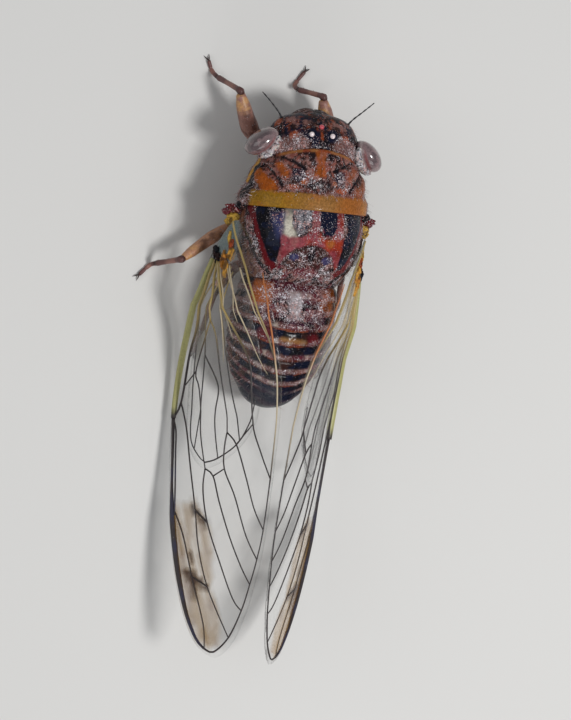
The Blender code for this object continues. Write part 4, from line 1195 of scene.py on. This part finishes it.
def fore_tint(s, w):
    """Nearly clear, with smoky brown over two cross veins and between the veins beyond them."""
    a, b = ragged(s, w, SEED + 21, 0.8, 0.25)
    smoke = strongest(on_line(a, b, line, width, 0.3) for line, width in SMOKE_SPOTS)
    along, across = 0.92 * s + 0.4 * w, 0.92 * w - 0.4 * s
    streaks = cloudy(plane(0.3 * along, 3.2 * across), 0.75, SEED + 24, 0.35, 0.62)
    dark = cloudy(plane(0.5 * along, 3.2 * across), 0.75, SEED + 23, 0.5, 0.75)
    veil = np.maximum((0.18 + 0.4 * streaks) * in_polygon(a, b, TAN_VEIL, 0.35),
                      (0.65 + 0.35 * streaks) * on_line(a, b, EDGE_VEIL, 0.8, 0.45))
    root = fade(s, 0.9, 0.2) * fade(w, 5.2, 4.4)
    alpha = np.clip(0.012 + 0.6 * veil + 0.62 * smoke, 0.0, 0.94)
    colour = lay(
        even(len(s), (CLEAR_GREY,) * 3),
        (VEIL, fade(veil, 0.0, 0.2)),
        (VEIL_DARK, 0.8 * dark * fade(veil, 0.0, 0.4)),
        (SMOKE, np.clip(1.3 * smoke, 0.0, 1.0)),
        (ROOT_GREY, root),
    )
    return np.column_stack((colour, np.maximum(alpha, 0.55 * root)))


def hind_tint(s, w):
    film = fade(s, 8.0, 3.0) * fade(w, 3.2, 4.6) * cloudy(plane(0.4 * s, 3.0 * w), 0.9, SEED + 17, 0.5, 0.68)
    return np.column_stack((lay(np.full((len(s), 3), 0.35), (HIND_FILM, film)), 0.01 + 0.16 * film))


def membrane_material():
    """Clear skin with a shine that grows as it is seen edge on, coloured where its paint is thick."""
    material, tree, shader = new_material("wing_skin", Roughness=0.25)
    colour, thickness = mesh_paint(tree)
    facing = add_node(tree, "LayerWeight", "Facing", {"Blend": 0.5})
    edge_on = add_node(tree, "Math", "Value", {0: facing, 1: 3.6}, operation="POWER")
    window = add_node(tree, "MixShader", "Shader", {
        "Fac": remap(tree, edge_on, 0.0, 1.0, 0.008, 0.6),
        1: add_node(tree, "BsdfTransparent", "BSDF", {}),
        2: add_node(tree, "BsdfGlossy", "BSDF", {"Roughness": 0.12}),
    })
    whole = add_node(tree, "MixShader", "Shader", {"Fac": thickness, 1: window, 2: shader.outputs["BSDF"]})
    fill_inputs(tree, shader, {"Base Color": colour})
    fill_inputs(tree, tree.nodes["Material Output"], {"Surface": whole})
    return material


def make_wings(skin, vein):
    for side, word in SIDES:
        under = UNDER_WING[side]
        widths = FORE_WIDTHS if side > 0 else RIGHT_WIDTHS
        wing_skin(word, "forewing", FOREWING_OUTLINE, FOREWING_VEINS, side, 0.0, 0.12, fore_tint, skin)
        wing_veins(word, "forewing", FOREWING_VEINS, widths, side, 0.0, vein_paint, vein)
        wing_skin(word, "hindwing", HINDWING_OUTLINE, HINDWING_VEINS, side, under, 0.1, hind_tint, skin)
        wing_veins(word, "hindwing", HINDWING_VEINS, {}, side, under, vein_paint, vein)


# Legs

# Radii along each part, by the share of its length
COXA = ((0.0, 0.52), (0.6, 0.46), (1.0, 0.34))
THIGH = ((0.0, 0.24), (0.12, 0.34), (0.5, 0.44), (0.85, 0.36), (1.0, 0.24))
FRONT_THIGH = ((0.0, 0.26), (0.12, 0.42), (0.42, 0.62), (0.8, 0.48), (1.0, 0.28))
SHIN = ((0.0, 0.24), (0.08, 0.27), (0.2, 0.19), (0.6, 0.17), (0.92, 0.2), (1.0, 0.17))
FOOT = ((0.0, 0.12), (0.1, 0.15), (0.26, 0.16), (0.3, 0.11), (0.36, 0.15), (0.58, 0.15), (0.62, 0.1),
        (0.68, 0.13), (0.95, 0.13), (1.0, 0.08))
TEETH = (0.3, 0.55, 0.78)
# Spurs of the shin: share of its length, reach and side
SHIN_SPURS = ((0.45, 0.3, 1), (0.6, 0.3, -1), (0.75, 0.32, 1), (0.97, 0.26, 1), (0.97, 0.26, -1))
CLAW_SPREAD = 28.0
CLAW_REACH = 0.42
CLAW_ROOM = 0.36
LEG_SKIN = (0.28, 0.135, 0.105)
KNEE_PATCH = (0.47, 0.25, 0.1)
# Painted highlight: a lighter tan skin for the middle left leg only
THIGH_HIGHLIGHT_TAN = (0.42, 0.21, 0.12)
SHIN_RED = (0.13, 0.055, 0.05)
CLAW_DARK = (0.03, 0.012, 0.01)


def limb_part(run, table, sides=20):
    """Limb along a run with radii from a table of (share of its length, radius), rounded at both ends."""
    steps = np.linalg.norm(np.diff(run, axis=0), axis=1)
    along = np.concatenate(([0.0], np.cumsum(steps))) / steps.sum()
    radii = straight(table, along)
    ends = np.minimum(along, 1.0 - along) * steps.sum()
    radii = radii * np.sqrt(np.clip(1.0 - (1.0 - np.clip(ends / (0.6 * radii), 0.0, 1.0)) ** 2, 0.04, 1.0))
    return tube_along(run, radii, sides)


def spike(root, tip, radius, bend=(0.0, 0.0, 0.0), steps=6):
    """Curved, pointed and dark, from a root to a tip."""
    share = np.linspace(0.0, 1.0, steps)[:, None]
    run = root + (tip - root) * share + np.array(bend) * (4 * share * (1 - share))
    return painted(tube_along(run, radius * (1.0 - 0.92 * share[:, 0] ** 1.5), 8), plain, CLAW_DARK)


def share_along(points, run):
    """How far along a run each point is, from 0 to 1."""
    coarse = run[::4]
    nearest = np.argmin(np.linalg.norm(points[:, None, :] - coarse[None], axis=2), axis=1)
    return nearest / max(1, len(coarse) - 1)


def thigh_paint(points, run, skin):
    """Brown skin with darker streaks and a pale patch before the knee."""
    share = share_along(points, run)
    base = lay(
        even(len(points), skin),
        (DARK_BROWN, 0.6 * patchy(points * (1.0, 1.0, 2.0), 0.35, 71, 0.5, 0.75) * fade(share, 0.95, 0.6)),
        (KNEE_PATCH, 0.9 * fade(share, 0.68, 0.82) * patchy(points, 0.3, 73, 0.3, 0.55)),
    )
    return with_pile(base, 0.2 + 0.3 * patchy(points, 0.3, 75, 0.4, 0.7) * fade(share, 0.8, 0.4))


def shin_paint(points, run):
    share = share_along(points, run)
    ends = 0.7 * fade(share, 0.14, 0.02) + 0.6 * fade(share, 0.85, 1.0)
    return lay(plain(points, SHIN_RED, 0.08), ((*LEG_SKIN, 0.08), 0.8 * in_band(share, 0.25, 0.6)),
               ((*CLAW_DARK, 0.08), ends))


def in_band(share, start, end):
    return between(share, start - 0.08, start + 0.08, end - 0.08, end + 0.08)


def make_leg(name, upper, lower, limb):
    front = "front" in name
    knee = (np.array(upper[3]) + np.array(lower[0])) / 2
    coxa = smooth_line(upper[:2])
    thigh = smooth_line((*upper[1:3], knee))
    shin = smooth_line((knee, *lower[:2]))
    sole = np.array([(*spot, FOOT_HEIGHT - 0.01) for spot in lower[2:]])
    sole[1] -= CLAW_ROOM * unit(sole[1] - sole[0])
    foot = smooth_line((lower[1], *sole), 0.04)
    # The middle left leg's lighter skin is a painted highlight
    skin = THIGH_HIGHLIGHT_TAN if name == "leg_middle_left" else LEG_SKIN
    foot_form = limb_part(foot, FOOT, 16)
    foot_form[0][:, 2] = np.maximum(foot_form[0][:, 2], 0.01)
    parts = [
        painted(limb_part(coxa, COXA), plain, LEG_SKIN, 0.35),
        painted(limb_part(thigh, FRONT_THIGH if front else THIGH, 24), thigh_paint, thigh, skin),
        painted(limb_part(shin, SHIN), shin_paint, shin),
        painted(foot_form, shin_paint, foot),
        *(thigh_teeth(thigh, knee) if front else []),
        *shin_spurs(shin),
    ]
    make_piece(name, join(parts), limb, [name + "_femur", name + "_tibia"])
    make_piece(name + "_claws", join(claws(foot)), limb)


def thigh_teeth(thigh, knee):
    """Teeth under a front thigh."""
    parts = []
    for share in TEETH:
        root = thigh[int(share * (len(thigh) - 1))]
        parts.append(spike(root, root + 0.16 * (knee - root) + (0.0, 0.0, -1.0 + 0.25 * share), 0.17))
    return parts


def shin_spurs(shin):
    """Short spurs along the lower half of the shin, the last two of them a pair at its end."""
    parts = []
    ahead = unit(shin[-1] - shin[0])
    aside = unit(np.cross(ahead, (0.0, 0.0, 1.0)))
    for share, reach, way in SHIN_SPURS:
        root = shin[int(share * (len(shin) - 1))]
        tip = root + reach * (0.75 * way * aside + 0.65 * ahead)
        tip[2] = max(tip[2], 0.05)
        parts.append(spike(root, tip, 0.05))
    return parts


def claws(foot):
    """Two claws, spread to both sides of the foot's end."""
    end = foot[-1]
    ahead = end - foot[-6]
    heading = math.atan2(ahead[1], ahead[0])
    parts = []
    for way in (1, -1):
        turn = heading + way * math.radians(CLAW_SPREAD)
        tip = end + np.array((CLAW_REACH * math.cos(turn), CLAW_REACH * math.sin(turn), 0.0))
        tip[2] = 0.015
        parts.append(spike(end - 0.05 * unit(ahead), tip, 0.06, (0.0, 0.0, 0.07), 8))
    return parts


# Head pieces

EYE_SKIN = (0.2, 0.13, 0.135)
EYE_DARK = (0.06, 0.04, 0.045)
# Painted reflection: a dark reddish band round the eye; painted sheen: a pale band near its rim
EYE_RED_REFLECTION = (0.2, 0.05, 0.05)
EYE_RIM_SHEEN = (0.42, 0.33, 0.32)
EYE_OUTWARD = (0.8, -0.05, 0.6)
# Side ocelli: a pale colour that is a painted highlight
OCELLUS_HIGHLIGHT = (0.8, 0.68, 0.68)
OCELLUS_RED = (0.5, 0.06, 0.08)
BEAK_BROWN = (0.12, 0.05, 0.03)
BEAK_DARK = (0.02, 0.01, 0.01, 0.0)
RIM_COLOURS = (BLUE_BLACK, SILVER, CREAM, BLUE_BLACK, SILVER)
# Radii of a feeler by the distance from its root, and the lengths of its stout part and of a bead
FEELER_RADII = ((0.0, 0.2), (0.5, 0.19), (0.6, 0.12), (0.7, 0.15), (0.95, 0.13), (1.05, 0.055), (3.6, 0.03))
FEELER_STOUT = 1.05
FEELER_BEAD = 0.42


def eye_frame(side):
    """Centre and axes of an eye: along its length, across it and up; its length runs back and outwards."""
    along = unit(np.array((side * EYE_AXIS[0], *EYE_AXIS[1:])))
    across = unit(np.cross(along, (0.0, 0.0, side)))
    return np.array(EYE_CENTRES[side]), along, across, side * np.cross(across, along)


def make_eye(side, word, eye):
    """Oval eye with a mottled middle, a painted reddish reflection, a pale painted sheen round its rim and a
    dark ring where it meets the head.
    """
    points, faces = unit_ball(110, 160)
    centre, *axes = eye_frame(side)
    facing = (points @ np.stack(axes)) @ (np.array(EYE_OUTWARD) * (side, 1, 1))
    base = lay(
        even(len(points), EYE_SKIN),
        (EYE_DARK, 0.8 * fade(facing, 0.1, 0.7) * cloudy(points, 0.32, 81 + side, 0.36, 0.58)),
        # Painted reflection: a patchy dark red band round the eye
        (EYE_RED_REFLECTION, 0.7 * in_band(facing, 0.1, 0.3) * patchy(points, 0.5, 85, 0.3, 0.6)),
        # Painted sheen: a pale band along the eye's rim
        (EYE_RIM_SHEEN, 0.7 * in_band(facing, -0.15, 0.0)),
        (DARK_BROWN, fade(facing, -0.3, -0.42)),
    )
    places = centre + (points * np.array(EYE_RADII)) @ np.stack(axes)
    make_piece("eyeball_" + word, (places, faces, with_pile(base, 0.0)), eye, ["eye_" + word])


def make_eye_rim(side, word, shell):
    """Silvery ridge of the head that wraps the eye from behind."""
    centre, along, across, up = eye_frame(side)
    turn = np.radians(np.linspace(12.0, RIM_END[side], 60))[:, None]
    rear = across * np.sign(across[1])
    run = centre + 1.15 * along * np.cos(turn) + 0.86 * rear * np.sin(turn) + 0.42 * up
    run[:, 2] -= 0.5 * fade(np.degrees(turn[:, 0]), 90.0, 150.0)
    thick = 0.06 + 0.25 * np.sin(np.linspace(0.15, math.pi - 0.1, 60)) ** 0.7
    points, faces = tube_along(run, thick, 20)
    points = points + 0.05 * (layered(points, 0.25, 87)[:, None] - 0.5)
    colours = with_pile(mottled(points[:, 0], points[:, 1], RIM_COLOURS, 0.16, SEED + 88), 1.0)
    make_piece("eye_rim_" + word, (points, faces, colours), shell)


def eye_material():
    """Wet-looking eye: colours from its mesh under a clear coat, over a fine net of facets."""
    material, tree, shader = new_material("eye_surface", Roughness=0.22, Coat_Weight=1.0, Coat_Roughness=0.03,
                                          Specular_IOR_Level=0.4)
    tint = remap(tree, grains(tree, 0.07, 2.0), 0.35, 0.65, 0.75, 1.2)
    where = add_node(tree, "TexCoord", "Object", {})
    facets = add_node(tree, "TexVoronoi", "Distance", {"Vector": where, "Scale": 1.0 / (0.05 * MM)})
    relief = {"Strength": 0.35, "Distance": 0.006 * MM, "Height": facets}
    fill_inputs(tree, shader, {
        "Base Color": shaded(tree, mesh_paint(tree)[0], tint),
        "Normal": add_node(tree, "Bump", "Normal", relief, invert=True),
    })
    return material


def make_face(shell):
    """Swollen front of the face, with cross ridges to both sides of its middle groove."""
    points, faces = unit_ball(150, 200)
    points = points[:, (0, 2, 1)] * (1.0, -1.0, 1.0)
    x, y, z = points.T
    aside = np.abs(x)
    ridge = 0.5 + 0.5 * np.cos(2 * math.pi * (z * 5.2 - 0.9 * aside))
    share = between(aside, 0.1, 0.3, 0.7, 0.92) * fade(-y, 0.0, 0.3)
    lift = 0.035 * ridge * share - 0.05 * fade(aside, 0.12, 0.0)
    base = lay(mottled(x, z, (BLACK, DARK_BROWN), 0.3, SEED + 40), (PINK, 0.6 * (1 - ridge) * share),
               (RUST, 0.7 * in_spot(x, z, (0.0, 0.85), (0.16, 0.2))))
    colours = with_pile(base, 0.2 + 0.35 * (1 - ridge) * share)
    places = points * (1.0 + lift[:, None]) * np.array(FACE_RADII) + np.array(FACE_CENTRE)
    make_piece("face", (places, faces, colours), shell)


def make_feeler(side, word, limb):
    """Two stout joints and a thin bristle of short beads."""
    run = smooth_line(skewed([(side * x, y, z) for x, y, z in FEELER]), 0.03)
    steps = np.concatenate(([0.0], np.cumsum(np.linalg.norm(np.diff(run, axis=0), axis=1))))
    beads = 1.0 + 0.22 * np.sin(2 * math.pi * np.maximum(steps - FEELER_STOUT, 0.0) / FEELER_BEAD)
    shape = painted(tube_along(run, straight(FEELER_RADII, steps) * beads), plain, BLACK, 0.05)
    make_piece("feeler_" + word, shape, limb, ["antenna_" + word])


def make_belly_plate(side, word, shell):
    centre = np.array((side * OPERCULUM_CENTRE[0], *OPERCULUM_CENTRE[1:]))
    points, faces = unit_ball(40, 60)
    points = points * OPERCULUM_RADII + centre
    x, y = points[:, 0], points[:, 1]
    away = np.hypot(x - centre[0], y - centre[1])
    points[:, 2] += 0.05 * np.cos(away * 14.0) * fade(away, 1.0, 0.6)
    edge = 0.8 * fade(away, 0.72, 0.95) + 0.5 * fade(y, 12.3, 11.8)
    colours = lay(with_pile(mottled(x, y, (OCHRE, TAN, COPPER), 0.4, SEED + 97), 0.25 * away),
                  ((*DARK_BROWN, 0.1), edge))
    make_piece("belly_plate_" + word, (points, faces, colours), shell, ["operculum_" + word])


def make_beak(limb):
    run = smooth_line(BEAK)
    points, faces = tube_along(run, evenly(BEAK_RADII, len(run)), 20)
    groove = fade(np.abs(points[:, 0]), 0.1, 0.03) * fade(points[:, 2], 1.3, 1.1)
    dark = np.maximum(fade(points[:, 1], 5.6, 7.4), 0.8 * groove)
    colours = lay(plain(points, BEAK_BROWN, 0.15), (BEAK_DARK, dark))
    make_piece("rostrum", (points, faces, colours), limb, ["beak"])


def make_head_pieces(shell, eye, limb):
    make_face(shell)
    for side, word in SIDES:
        make_eye(side, word, eye)
        make_eye_rim(side, word, shell)
        make_feeler(side, word, limb)
        make_belly_plate(side, word, shell)
    for k, centre in enumerate(OCELLI):
        points, faces = unit_ball(32, 48)
        points = points * OCELLUS_RADIUS + skewed(centre)
        # The two side ocelli take a painted highlight as their colour; the middle one is red
        shape = painted((points, faces), plain, OCELLUS_HIGHLIGHT if k else OCELLUS_RED)
        make_piece(f"ocellus_{k + 1}", shape, eye)
    make_beak(limb)


# Pile: short silver blades that lie backwards on the shell, and a few long soft hairs at its sides

# Size of a blade's place on the unwrap
HAIR_PATCH = 0.003
PILE_COUNTS = {"head": 1000, "pronotum": 1500, "mesothorax": 1900, "abdomen": 2600}
# Lengths in millimetres and lift from the shell in degrees
SHORT_PILE = ((0.12, 0.26), (15.0, 35.0))
LONG_HAIRS = ((0.3, 0.65), (35.0, 65.0))


def blades(roots, ahead, out, lengths, widths, seats):
    """Points, faces and unwrap places of bent blades, five points each."""
    half = unit(np.cross(ahead, out)) * widths[:, None] / 2
    middle = roots + (ahead * 0.5 + out * 0.06) * lengths[:, None]
    tip = roots + (ahead * 0.97 + out * 0.02) * lengths[:, None]
    points = np.stack((roots - half, roots + half, middle - 0.8 * half, middle + 0.8 * half, tip), 1)
    start = 5 * np.arange(len(roots))[:, None]
    faces = [*map(tuple, start + np.array((0, 1, 3, 2))), *map(tuple, start + np.array((2, 3, 4)))]
    corner = HAIR_PATCH * np.array(((0.0, 0.0), (1.0, 0.0), (0.1, 0.5), (0.9, 0.5), (0.5, 1.0)))
    return points.reshape(-1, 3), faces, (seats[:, None, :] + corner).reshape(-1, 2)


def along_body(sections, back, angle):
    """Ways out of the body's surface and backwards along it."""
    skin = body_point(sections, back, angle)
    out = body_point(sections, back, angle, 1.0) - skin
    along = body_point(sections, back + 0.05, angle) - skin
    return out, unit(along - out * np.sum(along * out, axis=1, keepdims=True))


def pile_on(name, sections, relief, cover, count, kind, seed, material):
    """Seeded blades on one plate, thick where cover is high."""
    reach, rise = kind
    rng = np.random.default_rng(seed)
    start, end = sections[0][0], sections[-1][0]
    back = rng.uniform(start + 0.15, end - 0.1, count * 8)
    angle = rng.uniform(math.radians(-35.0), math.radians(215.0), count * 8)
    s = girth(sections, back, angle)
    skin = body_point(sections, back, angle, relief(s, back, angle))
    share = np.maximum(cover(s, back, angle, skin) - 0.15, 0.0)
    width = section_curves(sections, back)[0]
    kept = np.flatnonzero(rng.uniform(0.0, 1.0, count * 8) < share * width / 4.5)[:count]
    back, angle, skin = back[kept], angle[kept], skin[kept]
    out, along = along_body(sections, back, angle)
    yaw = rng.normal(0.0, 0.6, len(kept))[:, None]
    lift = np.radians(rng.uniform(*rise, len(kept)))[:, None]
    ahead = (along * np.cos(yaw) + np.cross(out, along) * np.sin(yaw)) * np.cos(lift) + out * np.sin(lift)
    lengths = rng.uniform(*reach, len(kept))
    seats = 0.01 + 0.97 * plane((angle / (2 * math.pi)) % 1.0, (back - start) / (end - start))
    points, faces, uvs = blades(skin - 0.01 * out, ahead, out, lengths, 0.014 + 0.03 * lengths, seats)
    tone = rng.uniform(0.0, 1.0, (len(kept), 1))
    bright = rng.uniform(0.35, 1.1, (len(kept), 1))
    colours = bright * lay(even(len(kept), PILE_PINK), (PILE_SILVER, tone[:, 0]))
    obj = make_piece(name, (points, faces, np.repeat(colours, 5, axis=0)), material, (), uvs)
    obj.data.shade_flat()


def hair_material():
    material, tree, shader = new_material("silver_pile", Roughness=0.28, Specular_IOR_Level=0.8)
    tint = remap(tree, grains(tree, 0.2, 2.0), 0.35, 0.65, 0.8, 1.15)
    fill_inputs(tree, shader, {"Base Color": shaded(tree, mesh_paint(tree)[0], tint)})
    return material


def on_sides(s, t, angle, points):
    """Share of long hairs: mostly low on the sides."""
    return fade(np.sin(angle), 0.75, 0.2) * 0.8 + 0.06


def make_pile(material):
    for k, (name, slot, sections, relief, paint) in enumerate(PLATES):
        count = PILE_COUNTS[name]
        pile_on(name + "_pile", sections, relief, lambda *where: paint(*where)[:, 3], count,
                SHORT_PILE, SEED + 200 + k, material)
        pile_on(name + "_long_hairs", sections, relief, on_sides, count // 9, LONG_HAIRS,
                SEED + 300 + k, material)


# Wing bases: small hard plates in the wing's root, as (s, w), and beside the thorax, as (x, y, z).
# Each has a centre, radii, a colour and a share of pile.

KNOB_BLACK = (0.008, 0.009, 0.012)
PLATE_YELLOW = (0.46, 0.28, 0.05)
PLATE_ORANGE = (0.42, 0.17, 0.03)
BASE_PLATES = (
    ((0.2, 2.95), (0.3, 0.42, 0.26), KNOB_BLACK, 0.0), ((0.55, 3.35), (0.2, 0.36, 0.16), KNOB_BLACK, 0.2),
    ((0.75, 4.15), (0.26, 0.5, 0.18), PLATE_ORANGE, 0.1), ((0.15, 4.5), (0.26, 0.42, 0.2), OCHRE, 0.1),
    ((-0.45, 4.35), (0.22, 0.4, 0.16), RUST, 0.2), ((1.25, 4.7), (0.2, 0.5, 0.14), OCHRE, 0.1),
    ((-0.9, 4.0), (0.16, 0.5, 0.12), PLATE_YELLOW, 0.0), ((0.3, 3.8), (0.16, 0.4, 0.12), TAN, 0.1),
)
THORAX_PLATES = (
    ((4.4, 7.72, 4.75), (0.55, 0.36, 0.4), PLATE_YELLOW, 0.05),
    ((4.72, 7.95, 4.55), (0.3, 0.34, 0.3), PLATE_YELLOW, 0.0),
    ((4.55, 7.1, 4.95), (0.6, 0.34, 0.45), DEEP_RED, 0.6), ((4.95, 7.25, 4.6), (0.3, 0.3, 0.4), MAROON, 0.6),
    ((4.3, 6.9, 5.2), (0.4, 0.3, 0.4), BLACK, 0.5), ((4.3, 8.6, 4.55), (0.35, 0.6, 0.4), DARK_BROWN, 0.3),
    ((4.1, 9.5, 4.4), (0.4, 0.7, 0.5), DARK_BROWN, 0.4),
)


def lump(centre, radii, colour, pile, seed):
    points, faces = unit_ball(44, 64)
    swell = 1.0 + 1.2 * (layered(points, 0.6, seed) - 0.5)
    points = points * swell[:, None] * np.array(radii) + np.array(centre)
    base = lay(even(len(points), colour), (DARK_BROWN, 0.8 * patchy(points, 0.25, seed, 0.45, 0.75)))
    return points, faces, with_pile(base, pile)


def make_wing_bases(shell):
    for side, word in SIDES:
        roots = [(wing_points(np.array((spot,)), side)[0], *rest) for spot, *rest in BASE_PLATES]
        flanks = [(skewed((side * x, y, z)), *rest) for (x, y, z), *rest in THORAX_PLATES]
        parts = [lump(*plate, SEED + 60 + k) for k, plate in enumerate(roots)]
        parts += [lump(*plate, SEED + 70 + k) for k, plate in enumerate(flanks)]
        make_piece("wing_base_" + word, join(parts), shell)


def main():
    make_camera()
    make_floor()
    make_lights()
    shell = painted_material("body_shell", (0.2, 0.36), depth=0.007, Specular_IOR_Level=0.04,
                             Coat_Weight=0.12, Coat_Roughness=0.08)
    limb = painted_material("limb_shell", grain=0.08, Specular_IOR_Level=0.35)
    vein = painted_material("vein_shell", grain=0.1, mottle=0.15, bump=0.2)
    make_trunk(shell)
    make_head_pieces(shell, eye_material(), limb)
    for name, (upper, lower) in LEGS.items():
        make_leg(name, upper, lower, limb)
    make_wings(membrane_material(), vein)
    make_wing_bases(shell)
    make_pile(hair_material())


main()
